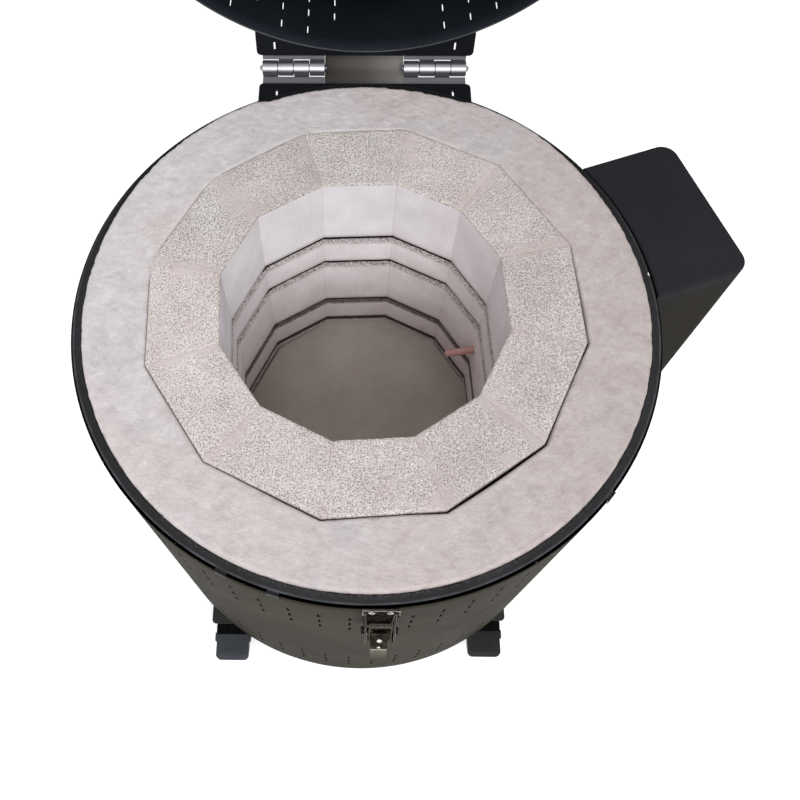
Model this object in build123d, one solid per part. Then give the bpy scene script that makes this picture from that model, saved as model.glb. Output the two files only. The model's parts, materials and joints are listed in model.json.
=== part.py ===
from build123d import *
import os
from math import sin, cos, tan, radians, degrees, sqrt, pi, atan2, acos

# Top-loading electric pottery kiln.  Units are millimetres, +Z is up.
# Origin: on the floor, on the vertical axis of the round firing chamber.
# -Y is the front (latch side), +Y the hinge side, the control box is on +X.
# Rest pose: the lid stands open on its stop, as in the photograph.

# ------------------------------------------------------------------ driving dimensions
FLOOR_TO_TOP = 513.0        # floor to the top face of the fire bricks
N = 12                      # bricks in the wall ring
BRICK_IN_R = 134.8          # corner radius of the chamber
BRICK_OUT_R = 202.0         # corner radius outside the bricks
BRICK_PHASE = -101.9        # direction of one brick joint, degrees
JOINT = 0.5                 # dry joint between two bricks
CHAMBER_DEPTH = 281.0
WALL_H = 345.0              # bricks reach down beside the floor slab
GROOVES = (94.0, 141.5, 226.5, 273.0)   # depth of the element grooves
FIBRE_R = 256.0
SHELL_R = 257.6             # inner shell, outside radius
SHELL_T = 1.0
CASING_R = 266.6            # perforated outer casing, outside radius
CASING_T = 1.2
CASING_TOP = -10.5          # below the brick top
CASING_BOT = -440.0
RING_R = 264.2              # rim ring
RING_TOP = -6.0
RING_T = 1.5
HINGE_Y = 284.7             # lid hinge axis
HINGE_Z = -5.5
OPEN_DEG = 98.95            # lid opening in the rest pose
BARREL_R = 8.0
PIN_R = 4.0
LID_R = 269.8
LID_RIM = 1.2               # lid rim plane above the brick top when closed
LID_H = 99.5
LID_T = 1.2
PLUG_R = 200.0
BOX_AZ = 19.6               # direction of the control box
BOX_U = 355.0               # outer face of the control box from the axis
BOX_HALF = 75.0
BOX_TOP = -10.0
BOX_H = 330.0
LATCH_X = 11.6
CASTERS = {"front_left": (-157.5, -191.0), "front_right": (157.0, -184.0), "rear_left": (-160.0, 183.0), "rear_right": (158.0, 183.0)}
TRAIL = 22.0
WHEEL_R = 25.0

T = FLOOR_TO_TOP
os.makedirs("parts", exist_ok=True)
parts = {}


def P(x, y, z):
    return Pos(x, y, z + T)


def box(x0, x1, y0, y1, z0, z1):
    """Box between two corners, z from the brick top."""
    return P((x0 + x1) / 2, (y0 + y1) / 2, (z0 + z1) / 2) * Box(abs(x1 - x0), abs(y1 - y0), abs(z1 - z0))


def cyl(r, z0, z1, x=0.0, y=0.0):
    return P(x, y, (z0 + z1) / 2) * Cylinder(r, abs(z1 - z0))


def tube(ro, ri, z0, z1, x=0.0, y=0.0):
    return cyl(ro, z0, z1, x, y) - cyl(ri, z0 - 1, z1 + 1, x, y)


def rod(p0, p1, r):
    """Round bar from p0 to p1."""
    a, b = Vector(*p0), Vector(*p1)
    d = b - a
    pl = Plane(origin=(a.X, a.Y, a.Z + T), z_dir=(d.X, d.Y, d.Z))
    return extrude(pl * Circle(r), d.length)


def prism_x(pts, x0, x1):
    """Extrude a (y, z) outline along X."""
    w = Plane.YZ * make_face(Polyline(*[(y, z + T) for y, z in pts], close=True))
    return Pos(x0, 0, 0) * extrude(w, x1 - x0)


def prism_z(pts, z0, z1):
    """Extrude an (x, y) outline along Z."""
    w = make_face(Polyline(*pts, close=True))
    return P(0, 0, min(z0, z1)) * extrude(w, abs(z1 - z0))


def ngon(r, off=0.0):
    return [((r + off) * cos(radians(BRICK_PHASE + 30 * k)), (r + off) * sin(radians(BRICK_PHASE + 30 * k))) for k in range(N)]


def many(solids):
    return Compound(children=list(solids))


def uv(u, v):
    a = radians(BOX_AZ)
    return (u * cos(a) - v * sin(a), u * sin(a) + v * cos(a))


def ubox(u0, u1, v0, v1, z0, z1):
    """Box in the control box's own directions: u outwards, v along the casing."""
    b = Pos((u0 + u1) / 2, (v0 + v1) / 2, 0) * Box(abs(u1 - u0), abs(v1 - v0), abs(z1 - z0))
    return P(0, 0, (z0 + z1) / 2) * Rot(0, 0, BOX_AZ) * b


def urod(u0, u1, v, z, r):
    a, b = uv(u0, v), uv(u1, v)
    return rod((a[0], a[1], z), (b[0], b[1], z), r)


def one(s):
    """The single solid of a boolean result."""
    so = s.solids()
    assert len(so) == 1, len(so)
    return so[0]


def add(name, shape):
    parts[name] = shape


# ------------------------------------------------------------------ what passes through the wall
LEAD_AZ = 27.0
la = radians(LEAD_AZ)
lead_z = [-(g + 2.2) for g in GROOVES]


def radial(r0, r1, z, r):
    return rod((r0 * cos(la), r0 * sin(la), z), (r1 * cos(la), r1 * sin(la), z), r)


TIP = (92.5, 38.6, -190.2)
ROOT = (127.9, 45.2, -190.2)
s_end = tuple(ROOT[i] + (ROOT[i] - TIP[i]) * 4.39 for i in range(3))
sheath_hole = rod(TIP, s_end, 5.0)
lead_hole = [radial(141, 292, z, 5.0) for z in lead_z]

# ------------------------------------------------------------------ fire brick ring
ap = BRICK_IN_R * cos(radians(15))
bricks = []
for k in range(N):
    a0 = radians(BRICK_PHASE + 30 * k)
    a1 = a0 + radians(30)
    am = (a0 + a1) / 2
    ca, sa = cos(am), sin(am)
    hi_ = BRICK_IN_R * sin(radians(15)) - JOINT / 2 / cos(radians(15))
    ho = BRICK_OUT_R * sin(radians(15)) - JOINT / 2 / cos(radians(15))
    ri, ro = ap, BRICK_OUT_R * cos(radians(15))
    pts = [(ri, -hi_), (ro, -ho), (ro, ho), (ri, hi_)]
    b = P(0, 0, -WALL_H) * extrude(make_face(Polyline(*pts, close=True)), WALL_H)
    for i, g in enumerate(GROOVES):
        zt, zb = -(g - 2.0), -(g + 6.5)
        b -= box(ri - 2, ri + 14, -60, 60, zb, zt)
        if i < 3:
            lip = Plane.XZ * make_face(Polyline((ri - 0.01, zb - 6.5 + T), (ri + 9, zb + 0.01 + T), (ri - 0.01, zb + 0.01 + T), close=True))
            b -= Pos(0, 60, 0) * extrude(lip, 120)
    b = Rot(0, 0, degrees(am)) * b
    d0 = degrees(am)
    if abs(((d0 - LEAD_AZ + 180) % 360) - 180) < 16:
        for h in lead_hole:
            b -= h
    if abs(((d0 - 19) + 180) % 360 - 180) < 32:
        b -= sheath_hole
    bricks.append(one(b))
add("wall_bricks", many(bricks))
add("floor_slab", one(prism_z(ngon(BRICK_IN_R, -0.8), -WALL_H, -CHAMBER_DEPTH)))

# heating elements: a coil lies in each groove
add("heating_elements", many([(P(0, 0, z) * Torus(140.0, 3.3)).solid() for z in lead_z]))
# straight lead-through tails and the ceramic bushes that they run in
add("element_leads", many([one(radial(144.0, 296, z, 2.0)) for z in lead_z]))
add("lead_bushes", many([one(radial(146, 284, z, 4.7) - radial(140, 300, z, 2.3)) for z in lead_z]))

# ------------------------------------------------------------------ fibre, shells, base
fib = cyl(FIBRE_R, -WALL_H, 0) - prism_z(ngon(BRICK_OUT_R, 1.2), -WALL_H - 1, 1)
for h in lead_hole:
    fib -= h
fib -= sheath_hole
add("fibre_wrap", one(fib))
add("base_insulation", one(cyl(FIBRE_R - 0.3, -400, -WALL_H)))
chan = []
for sx in (-1, 1):
    c = box(sx * 90, sx * 140, -212, 212, -437, -400) - box(sx * 92, sx * 138, -213, 213, -438, -402)
    chan.append(one(c))
add("base_channels", many(chan))
shell = tube(SHELL_R, SHELL_R - SHELL_T, -437, -10.5)
cas = tube(CASING_R, CASING_R - CASING_T, CASING_BOT, CASING_TOP)
for h in lead_hole:
    shell -= h
    cas -= h
shell -= sheath_hole
cas -= sheath_hole
# room for the lower hinge leaves in the top edge of the casing
for sx in (-1, 1):
    cas -= box(sx * 39, sx * 110, 225, 290, -14.5, -9)
cas -= box(-41, 41, 225, 290, -13.2, -9)
rivet_x = (LATCH_X - 7.2, LATCH_X + 7.2)
for rx in rivet_x:
    cas -= rod((rx, -272, -14.5), (rx, -255, -14.5), 1.7)
stud = [(-55, -40), (55, -40), (-55, -310), (55, -310)]
for v, z in stud:
    cas -= urod(250, 280, v, z, 2.6)
add("inner_shell", one(shell))
add("base_plate", one(cyl(CASING_R - CASING_T - 0.3, -440, -437)))

# rim ring: flat ring with an inner skirt, and three small tabs folded over the casing's edge
ring = tube(RING_R, 256.3, RING_TOP - RING_T, RING_TOP) + tube(259.2, 258.0, -24, RING_TOP - 0.5)
for az in (-115.5, -105.9, -41.5):
    t = box(RING_R - 0.6, 267.6, -5.0, 5.0, RING_TOP - RING_T, RING_TOP) + box(266.9, 267.6, -5.0, 5.0, -13.0, RING_TOP)
    ring += Rot(0, 0, az) * t
add("rim_ring", one(ring))
add("outer_casing", one(cas))

# ------------------------------------------------------------------ hinge, body side
BR_X = 110.8
LBR_X = 113.6
brk = box(-BR_X, BR_X, 215, 266.3, -10.5, -8.5) - cyl(259.8, -12, -7)
brk = brk - P(-BR_X, 266.3, -9.5) * Rot(0, 0, 45) * Box(6, 6, 4) - P(BR_X, 266.3, -9.5) * Rot(0, 0, 45) * Box(6, 6, 4)
for sx in (-1, 1):
    brk -= box(sx * 91, sx * 93, 249.5, 258.5, -12, -7)
parts_b = sorted(brk.solids(), key=lambda s: s.volume)
add("body_hinge_bracket", parts_b[-1])

stop = prism_x([(261.5, -12.8), (295.5, -12.8), (299.5, -8.8), (299.5, 6.8), (298.1, 6.8), (298.1, -8.2), (294.9, -11.3), (261.5, -11.3)], -40.2, 40.2)
stop -= cyl(260.4, -14, -9)
add("lid_stop_plate", one(stop))

KW = 16.5                   # knuckle width


def knuckle(x0, x1):
    k = rod((x0 + 0.15, HINGE_Y, HINGE_Z), (x1 - 0.15, HINGE_Y, HINGE_Z), BARREL_R)
    return k - rod((x0 - 1, HINGE_Y, HINGE_Z), (x1 + 1, HINGE_Y, HINGE_Z), PIN_R + 0.05)


def low_leaf(x0):
    """Body-side leaf: knuckles 1 and 3."""
    x1 = x0 + 4 * KW
    zb = HINGE_Z - BARREL_R
    leaf = box(x0 + 0.2, x1 - 0.2, 267.5, HINGE_Y - 9.5, zb, zb + 2.0) + box(x0 + 0.2, x1 - 0.2, 240, 268.5, zb + 0.9, zb + 2.9)
    leaf -= cyl(260.2, -15, -9)
    leaf = sorted(leaf.solids(), key=lambda s: s.volume)[-1]
    for i in (0, 2):
        a, b = x0 + i * KW, x0 + (i + 1) * KW
        leaf = leaf + box(a + 0.2, b - 0.2, HINGE_Y - 9.6, HINGE_Y, zb, zb + 2.0) + knuckle(a, b)
    leaf -= rod((x0 - 5, HINGE_Y, HINGE_Z), (x1 + 5, HINGE_Y, HINGE_Z), PIN_R + 0.05)
    return one(leaf)


def up_leaf(x0):
    """Lid-side leaf, drawn closed: knuckles 2 and 4."""
    x1 = x0 + 4 * KW
    zt = HINGE_Z + BARREL_R
    leaf = box(x0 + 0.2, x1 - 0.2, 274.2, HINGE_Y - 9.5, zt - 2.0, zt + 3.1) + box(x0 + 0.2, x1 - 0.2, 246, 274.2, zt + 1.0, zt + 3.1)
    for i in (1, 3):
        a, b = x0 + i * KW, x0 + (i + 1) * KW
        leaf = leaf + box(a + 0.2, b - 0.2, HINGE_Y - 9.6, HINGE_Y, zt - 2.0, zt) + knuckle(a, b)
    leaf -= rod((x0 - 5, HINGE_Y, HINGE_Z), (x1 + 5, HINGE_Y, HINGE_Z), PIN_R + 0.05)
    return one(leaf)


add("hinge_lower_leaves", many([low_leaf(-108.05), low_leaf(40.75)]))
pins = []
for x0, x1 in ((-108.05, -42.05), (40.75, 106.75)):
    p = rod((x0 - 0.6, HINGE_Y, HINGE_Z), (x1 + 0.6, HINGE_Y, HINGE_Z), PIN_R)
    for s, xe in ((-1, x0 - 0.3), (1, x1 + 0.3)):
        p += Pos(xe + s * 1.5, HINGE_Y, HINGE_Z + T) * Rot(0, 90 * s, 0) * Cone(5.0, 2.2, 3.0)
    pins.append(one(p))
add("hinge_pins", many(pins))

# ------------------------------------------------------------------ lid, drawn closed and then swung open
lid = {}
z0, z1 = LID_RIM, LID_RIM + LID_H
sk = tube(LID_R, LID_R - LID_T, z0, z1)
sk -= box(-LBR_X - 0.4, LBR_X + 0.4, 225, 290, z0 - 1, z0 + 2.2)
for sx in (-1, 1):
    sk -= box(sx * 40, sx * 109, 225, 290, z0 - 1, z0 + 4.6)
kx = (LATCH_X - 3.2, LATCH_X + 3.2)
lid["lid_skirt"] = sk
lid["lid_top_sheet"] = cyl(LID_R, z1, z1 + 1.5)
lid["lid_insulation"] = cyl(PLUG_R, 1.0, z1 - 0.02)
lb = box(-LBR_X, LBR_X, 215, 273.8, z0, z0 + 2.0) - cyl(262.0, z0 - 1, z0 + 3)
lb = sorted(lb.solids(), key=lambda s: s.volume)[-1]
lb = lb - P(-LBR_X, 273.8, z0 + 1) * Rot(0, 0, 45) * Box(6, 6, 4) - P(LBR_X, 273.8, z0 + 1) * Rot(0, 0, 45) * Box(6, 6, 4)
for sx in (-1, 1):
    lb -= box(sx * 92, sx * 94, 254, 265, z0 - 1, z0 + 3)
lid["lid_hinge_bracket"] = lb
lid["hinge_upper_leaves"] = [up_leaf(-108.05), up_leaf(40.75)]

# handle: a bar on two posts, fixed through the skirt at the front
HZ = 62.0
bar = rod((-68, -309, HZ), (68, -309, HZ), 6.5)
hp = []
for hx_ in (-52, 52):
    yy = -sqrt(LID_R ** 2 - hx_ ** 2)
    post = rod((hx_, -250, HZ), (hx_, -304.5, HZ), 5.0) + rod((hx_, -250, HZ), (hx_, yy - 6.0, HZ), 9.0)
    post -= cyl(LID_R + 0.3, HZ - 20, HZ + 20)
    post += rod((hx_, yy + 14, HZ), (hx_, -290, HZ), 3.0)
    post += rod((hx_, -300, HZ), (hx_, -309, HZ), 3.0)
    hp.append(post)
    sk -= rod((hx_, -290, HZ), (hx_, -240, HZ), 3.2)
    bar -= rod((hx_, -304.0, HZ), (hx_, -309, HZ), 3.02)
    bar -= rod((hx_, -300.0, HZ), (hx_, -304.6, HZ), 6.0)
lid["lid_handle"] = bar
lid["lid_handle_posts"] = hp

# keeper: a hooked plate that hangs below the rim, in the latch's reach
keep = prism_x([(-271.9, 34), (-270.5, 34), (-270.5, -19.5), (-276.2, -19.5), (-276.2, -11.5), (-274.9, -11.5), (-274.9, -18.2), (-271.9, -18.2)], LATCH_X - 6, LATCH_X + 6)
kr = []
for kz in (14.0, 27.0):
    keep -= rod((LATCH_X, -280, kz), (LATCH_X, -260, kz), 1.7)
    sk -= rod((LATCH_X, -280, kz), (LATCH_X, -260, kz), 1.7)
    kr.append(rod((LATCH_X, -271.95, kz), (LATCH_X, -266.5, kz), 1.6) + rod((LATCH_X, -273.7, kz), (LATCH_X, -271.92, kz), 3.0))
lid["latch_keeper"] = keep
lid["keeper_rivets"] = kr
lid["lid_skirt"] = sk

hinge_axis = Axis((0, HINGE_Y, HINGE_Z + T), (1, 0, 0))
for name, s in lid.items():
    if isinstance(s, list):
        add(name, many([one(x).rotate(hinge_axis, -OPEN_DEG) for x in s]))
    else:
        add(name, one(s).rotate(hinge_axis, -OPEN_DEG))

# ------------------------------------------------------------------ draw latch
PY, PZ = -275.5, -56.0      # lever pivot
LY, LZ = -280.0, -67.0      # link pin
LW = 7.0                    # half width of the lever
lb_ = box(LATCH_X - 14.7, LATCH_X + 14.7, -268.4, -266.9, -21, -7) + box(LATCH_X - 12.2, LATCH_X + 12.2, -268.4, -266.9, -80, -20)
for s in (-1, 1):
    xa, xb = LATCH_X + s * 11.0, LATCH_X + s * 12.2
    lb_ += prism_x([(-267.5, -23), (-273, -28), (-280, -40), (-283.5, -55), (-284.5, -70), (-281.5, -80), (-267.5, -80)], min(xa, xb), max(xa, xb))
    xa, xb = LATCH_X + s * 13.5, LATCH_X + s * 14.7
    lb_ += prism_x([(-267.5, -9.5), (-270.5, -11), (-271.5, -16), (-270.5, -21), (-267.5, -21)], min(xa, xb), max(xa, xb))
for rx in rivet_x:
    lb_ -= rod((rx, -280, -14.5), (rx, -260, -14.5), 1.7)
lb_ -= rod((LATCH_X - 20, PY, PZ), (LATCH_X + 20, PY, PZ), 2.02)
add("latch_base", one(lb_))
riv = []
for rx in rivet_x:
    riv.append(one(rod((rx, -268.45, -14.5), (rx, -262.5, -14.5), 1.6) + rod((rx, -269.6, -14.5), (rx, -268.42, -14.5), 2.8)))
add("latch_rivets", many(riv))
pp = rod((LATCH_X - 13.4, PY, PZ), (LATCH_X + 13.4, PY, PZ), 2.0)
for s in (-1, 1):
    pp += rod((LATCH_X + s * 12.3, PY, PZ), (LATCH_X + s * 15.2, PY, PZ), 2.9)
add("latch_pivot_pin", one(pp))
side = [(-272.6, -52.0), (-276.4, -50.2), (-278.0, -50.7), (-284.0, -72.0), (-285.4, -84.0), (-281.5, -84.0), (-272.6, -60.0)]
lev = None
for s in (-1, 1):
    xa, xb = LATCH_X + s * (LW - 1.2), LATCH_X + s * LW
    w = prism_x(side, min(xa, xb), max(xa, xb))
    lev = w if lev is None else lev + w
lev += prism_x([(-278.0, -50.7), (-284.0, -72.0), (-285.4, -84.0), (-288.6, -90.2), (-293.6, -95.0), (-294.6, -94.0), (-289.6, -89.2), (-286.7, -83.6), (-285.3, -71.6), (-279.3, -50.4)], LATCH_X - LW, LATCH_X + LW)
lev += rod((LATCH_X, -282.0, -65.8), (LATCH_X, -285.2, -64.9), 2.0)
lev -= rod((LATCH_X - 20, PY, PZ), (LATCH_X + 20, PY, PZ), 2.05)
lev -= rod((LATCH_X - 20, LY, LZ), (LATCH_X + 20, LY, LZ), 1.55)
add("latch_lever", one(lev))
add("latch_link_pin", one(rod((LATCH_X - 9.8, LY, LZ), (LATCH_X + 9.8, LY, LZ), 1.5)))
link = None
for s in (-1, 1):
    xa, xb = LATCH_X + s * 7.9, LATCH_X + s * 9.3
    arm = prism_x([(LY - 1.9, LZ - 2.6), (LY + 1.9, LZ - 2.6), (-276.9, -12.0), (-279.4, -12.0)], min(xa, xb), max(xa, xb))
    link = arm if link is None else link + arm
link += prism_x([(-279.6, -19.0), (-277.6, -19.0), (-276.9, -12.0), (-279.4, -12.0)], LATCH_X - 9.3, LATCH_X + 9.3)
link -= rod((LATCH_X - 20, LY, LZ), (LATCH_X + 20, LY, LZ), 1.52)
add("latch_link", one(link))

# ------------------------------------------------------------------ control box
def box_face(g):
    """Outline of the box, g inside the outer skin."""
    u1, r = BOX_U - g, 16.0 - g
    w = Polyline((200, -79.0 + g), (u1, -79.0 + g), (u1, 77.2 - g), (200, 77.2 - g), close=True)
    f = make_face(w)
    vs = [v for v in f.vertices() if v.X > 300]
    return fillet(vs, r)


def uprism(face, za, zb):
    return P(0, 0, min(za, zb)) * Rot(0, 0, BOX_AZ) * extrude(face, abs(zb - za))


ZB = BOX_TOP - BOX_H
outer = uprism(box_face(0), ZB, BOX_TOP) - cyl(268.6, ZB - 1, BOX_TOP + 1)
inner = uprism(box_face(1.5), ZB + 1.5, BOX_TOP - 1.5)
bb = outer - inner
CZ = -88.0                  # controller centre
SZ = -190.0                 # switch and lamp row
bb -= ubox(340, 360, -33.2, 33.2, CZ - 33.2, CZ + 33.2)
bb -= ubox(340, 360, -37.7, -10.3, SZ - 9.7, SZ + 9.7)
bb -= urod(340, 360, 24, SZ, 6.0)
bb -= P(*uv(318, 0), ZB) * Cylinder(8.1, 8)
for s in (-1, 1):
    for j in range(6):
        zc = -245 - 12 * j
        bb -= ubox(292, 336, s * 70, s * 80, zc - 1.5, zc + 1.5)
cover_screw = [(-60, -22), (60, -22), (-60, -328), (60, -328)]
for v, z in cover_screw:
    bb -= urod(345, 360, v, z, 1.9)
add("control_box_body", one(bb))
back = uprism(box_face(1.8), ZB + 1.8, BOX_TOP - 1.8) & tube(270.1, 268.6, ZB, BOX_TOP)
back = sorted(back.solids(), key=lambda s: s.volume)[-1]
for h in lead_hole:
    back -= h
back -= sheath_hole
for v, z in stud:
    back -= urod(250, 280, v, z, 2.6)
add("control_box_back", one(back))
bolts = []
for v, z in stud:
    ui = sqrt(270.1 ** 2 - v ** 2) + 1.1
    bo = urod(ui - 11, ui, v, z, 2.5) + urod(ui - 0.05, ui + 3.2, v, z, 4.6)
    bolts.append(one(bo))
add("box_mount_bolts", many(bolts))
cs = []
for v, z in cover_screw:
    cs.append(one(urod(346, 355.02, v, z, 1.8) + urod(355.0, 357.0, v, z, 3.6)))
add("box_screws", many(cs))

# temperature controller with its window and keys
ch = ubox(292, 355, -33, 33, CZ - 33, CZ + 33) + ubox(355, 361, -36, 36, CZ - 36, CZ + 36)
ch -= ubox(359.4, 362, -27, 27, CZ - 4, CZ + 24)
key_v = (-18.0, 0.0, 18.0)
for v in key_v:
    ch -= ubox(355.5, 362, v - 6.2, v + 6.2, CZ - 26.2, CZ - 15.8)
add("controller_housing", one(ch))
add("display_window", one(ubox(359.4, 360.7, -26.8, 26.8, CZ - 3.8, CZ + 23.8)))
for nm, v in zip(("key_set", "key_down", "key_up"), key_v):
    k_ = ubox(357.2, 362.2, v - 5.9, v + 5.9, CZ - 25.9, CZ - 16.1)
    add(nm, one(k_))

# rocker switch, resting off
sb = ubox(330, 355, -37.4, -10.6, SZ - 9.4, SZ + 9.4) + ubox(355, 357, -39.5, -8.5, SZ - 11.5, SZ + 11.5)
sb -= ubox(345, 360, -36.2, -11.8, SZ - 8.0, SZ + 8.0)
ROCK_U, ROCK_V = 351.0, -24.0
rc = uv(ROCK_U, ROCK_V)
sb -= cyl(1.26, SZ - 8.9, SZ + 8.9, rc[0], rc[1])
add("switch_body", one(sb))
rk = [(-11.0, 0.5), (-11.0, 5.5), (0.0, 4.0), (11.0, 5.5), (11.0, 0.5), (0.0, -3.0)]
rk_face = make_face(Polyline(*[(ROCK_U + b, ROCK_V + a) for a, b in rk], close=True))
rock = P(0, 0, SZ - 7.7) * Rot(0, 0, BOX_AZ) * extrude(rk_face, 15.4)
rock += cyl(1.2, SZ - 8.7, SZ + 8.7, rc[0], rc[1])
rock = one(rock).rotate(Axis((rc[0], rc[1], 0), (0, 0, 1)), 9.0)
add("power_rocker", rock)
pl = urod(338, 355, 24, SZ, 5.8) + urod(355, 357.5, 24, SZ, 8.0)
pl += P(*uv(357.5, 24), SZ) * Rot(0, 0, BOX_AZ) * Rot(0, 90, 0) * Cone(6.0, 3.5, 4.0)
add("pilot_lamp", one(pl))

# inside the box: switching relay on its sink, terminal block
rm = ubox(296, 320, -50, -12, -300, -240)
for j in range(6):
    v = -49 + 7 * j
    rm += ubox(283, 296.5, v, v + 2.2, -300, -240)
add("relay_module", one(rm))
tb = ubox(300, 322, 8, 58, -300, -278)
for j in range(5):
    tb -= ubox(310, 323, 10 + 10 * j, 16 + 10 * j, -286, -276)
add("terminal_block", one(tb))
th = one(ubox(286, 308, -38, -10, -201, -179) - sheath_hole)
add("thermocouple_head", th)
sh = rod(TIP, s_end, 4.0) - rod((ROOT[0], ROOT[1], ROOT[2]), s_end, 2.0)
add("thermocouple_sheath", one(sh))
gx, gy = uv(318, 0)
gl = cyl(8.0, ZB - 6, ZB + 12, gx, gy) + cyl(11.0, ZB - 6, ZB - 0.02, gx, gy) + cyl(10.2, ZB - 22, ZB - 5, gx, gy)
gl += tube(11.5, 8.0, ZB + 1.6, ZB + 6.5, gx, gy)
gl -= cyl(5.0, ZB - 40, ZB + 30, gx, gy)
add("cord_gland", one(gl))

# ------------------------------------------------------------------ casters
plates, cbolts = [], []
FZ = -T                     # floor level measured from the brick top
for nm, (cx, cy) in CASTERS.items():
    pl_ = box(cx - 25, cx + 25, cy - 25, cy + 25, -443, -440)
    pl_ = fillet(pl_.edges().filter_by(Axis.Z), 5)
    pl_ += cyl(6.0, -446, -443, cx, cy) + cyl(9.0, -460.2, -457.6, cx, cy) + cyl(6.0, -457.7, -445, cx, cy)
    for ax in (-1, 1):
        for ay in (-1, 1):
            bx, by = cx + ax * 19, cy + ay * 19
            if bx * bx + by * by > 255 ** 2:
                continue
            pl_ -= cyl(3.2, -445, -438, bx, by)
            b_ = cyl(3.0, -447, -437.02, bx, by) + cyl(5.2, -447.5, -443.02, bx, by)
            cbolts.append(one(b_))
    plates.append(one(pl_))
add("caster_plates", many(plates))
bp = parts["base_plate"]
for b_ in cbolts:
    c = b_.center()
    bp = bp - cyl(3.2, -445, -430, c.X, c.Y)
add("base_plate", one(bp))
add("caster_bolts", many(cbolts))

for nm, (cx, cy) in CASTERS.items():
    wy = cy - TRAIL
    wz = FZ + WHEEL_R
    # swivelling fork: crown disc round the kingpin and two legs
    fk_ = cyl(21.0, -457.0, -448.2, cx, cy)
    fk_ += box(cx - 11.4, cx + 11.4, cy - 33.0, cy, -458.5, -455.5)
    for s in (-1, 1):
        leg = prism_x([(cy + 14, -456), (cy + 10, -462), (wy + 7, wz - 7), (wy - 7, wz - 7), (cy - 33.2, -466), (cy - 33.2, -456)], min(cx + s * 9.4, cx + s * 11.4), max(cx + s * 9.4, cx + s * 11.4))
        fk_ += leg
    if cy < 0:
        # housing that reaches forward over the wheel as far as the pedal
        fk_ += box(cx - 20.0, cx + 20.0, cy - 36.0, cy, -452.6, -450.9)
        fk_ += box(cx - 20.0, cx + 20.0, cy - 22.0, cy, -457.0, -450.9)
        for dx in (-7.0, 7.0):
            fk_ += box(cx + dx - 0.6, cx + dx + 0.6, cy - 36.0, cy - 18, -451.5, -449.9)
    fk_ -= cyl(6.3, -470, -445, cx, cy)
    fk_ -= cyl(9.3, -461, -457.3, cx, cy)
    fk_ -= rod((cx - 20, wy, wz), (cx + 20, wy, wz), 3.02)
    axle = rod((cx - 12.6, wy, wz), (cx + 12.6, wy, wz), 3.0)
    for s in (-1, 1):
        axle += rod((cx + s * 11.45, wy, wz), (cx + s * 14.6, wy, wz), 5.0)
    fork_s = one(fk_)
    pivot = None
    solids = [fork_s, one(axle)]
    if cy < 0:
        # cross pin that the brake pedal turns on
        pvy, pvz = cy - 29.0, -461.5
        fork_s = one(fork_s - rod((cx - 20, pvy, pvz), (cx + 20, pvy, pvz), 1.62))
        ppin = rod((cx - 16.5, pvy, pvz), (cx - 9.35, pvy, pvz), 1.6)
        ppin2 = rod((cx + 9.35, pvy, pvz), (cx + 16.5, pvy, pvz), 1.6)
        solids = [fork_s, solids[1], one(ppin), one(ppin2)]
    add("caster_fork_" + nm, many(solids))
    hub = rod((cx - 8.4, wy, wz), (cx + 8.4, wy, wz), 7.0) + rod((cx - 7.5, wy, wz), (cx + 7.5, wy, wz), 19.0)
    hub -= rod((cx - 20, wy, wz), (cx + 20, wy, wz), 3.06)
    tyre = rod((cx - 8.6, wy, wz), (cx + 8.6, wy, wz), WHEEL_R) - rod((cx - 20, wy, wz), (cx + 20, wy, wz), 19.0)
    tyre = chamfer(tyre.edges().filter_by(GeomType.CIRCLE).group_by(SortBy.RADIUS)[-1], 2.0)
    add("caster_wheel_" + nm, many([one(hub), one(tyre)]))
    if cy < 0:
        # brake pedal: a ribbed cap that straddles the fork legs
        prof = [(cy - 36.0, -456.0), (cy - 60, -457.5), (cy - 65, -461.0), (cy - 65, -466.5), (cy - 61.8, -466.5), (cy - 60.5, -461.5), (cy - 50, -459.8), (cy - 43.0, -459.4), (cy - 36.0, -459.2)]
        shoe = [(cy - 43.0, -459.0), (cy - 50, -459.0), (cy - 48.6, -475.0), (cy - 45.2, -475.0)]
        skirt = [(cy - 26.5, -458.2), (cy - 36, -457), (cy - 60, -458.5), (cy - 64, -461.5), (cy - 64, -467), (cy - 50, -472), (cy - 34, -472), (cy - 26.5, -465)]
        ped = prism_x(prof, cx - 20, cx + 20) + prism_x(shoe, cx - 6, cx + 6)
        for s in (-1, 1):
            ped += prism_x(skirt, min(cx + s * 16.9, cx + s * 20), max(cx + s * 16.9, cx + s * 20))
            ped += prism_x([(cy - 26.5, -459), (cy - 32.5, -459), (cy - 32.5, -465), (cy - 26.5, -465)], min(cx + s * 12.0, cx + s * 17), max(cx + s * 12.0, cx + s * 17))
            ped += prism_x([(cy - 35.0, -457.4), (cy - 42.5, -458.4), (cy - 43.5, -463.0), (cy - 36.0, -465.0), (cy - 33.0, -461.0)], min(cx + s * 19.5, cx + s * 22.3), max(cx + s * 19.5, cx + s * 22.3))
        ped -= rod((cx - 16.8, pvy, pvz), (cx + 16.8, pvy, pvz), 1.66)
        for j in range(3):
            yy = cy - 42.5 - 6.0 * j
            ped += box(cx - 12, cx + 12, yy - 1.2, yy + 1.2, -458.5, -455.9 - 0.37 * j)
        for s in (-1, 1):
            # rounded front corners
            xa, xb = cx + s * 14.0, cx + s * 20.5
            ped -= box(min(xa, xb), max(xa, xb), cy - 66, cy - 59, -476, -454) - cyl(6.0, -480, -450, xa, cy - 59)
        add("brake_pedal_" + nm.split("_")[1], one(ped))

# ------------------------------------------------------------------ write
for name, s in parts.items():
    if isinstance(s, Compound) and len(s.solids()) == 1:
        s = s.solids()[0]
    export_step(s, f"parts/{name}.step")
print(len(parts), "nodes")
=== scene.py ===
import json
import math

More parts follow.
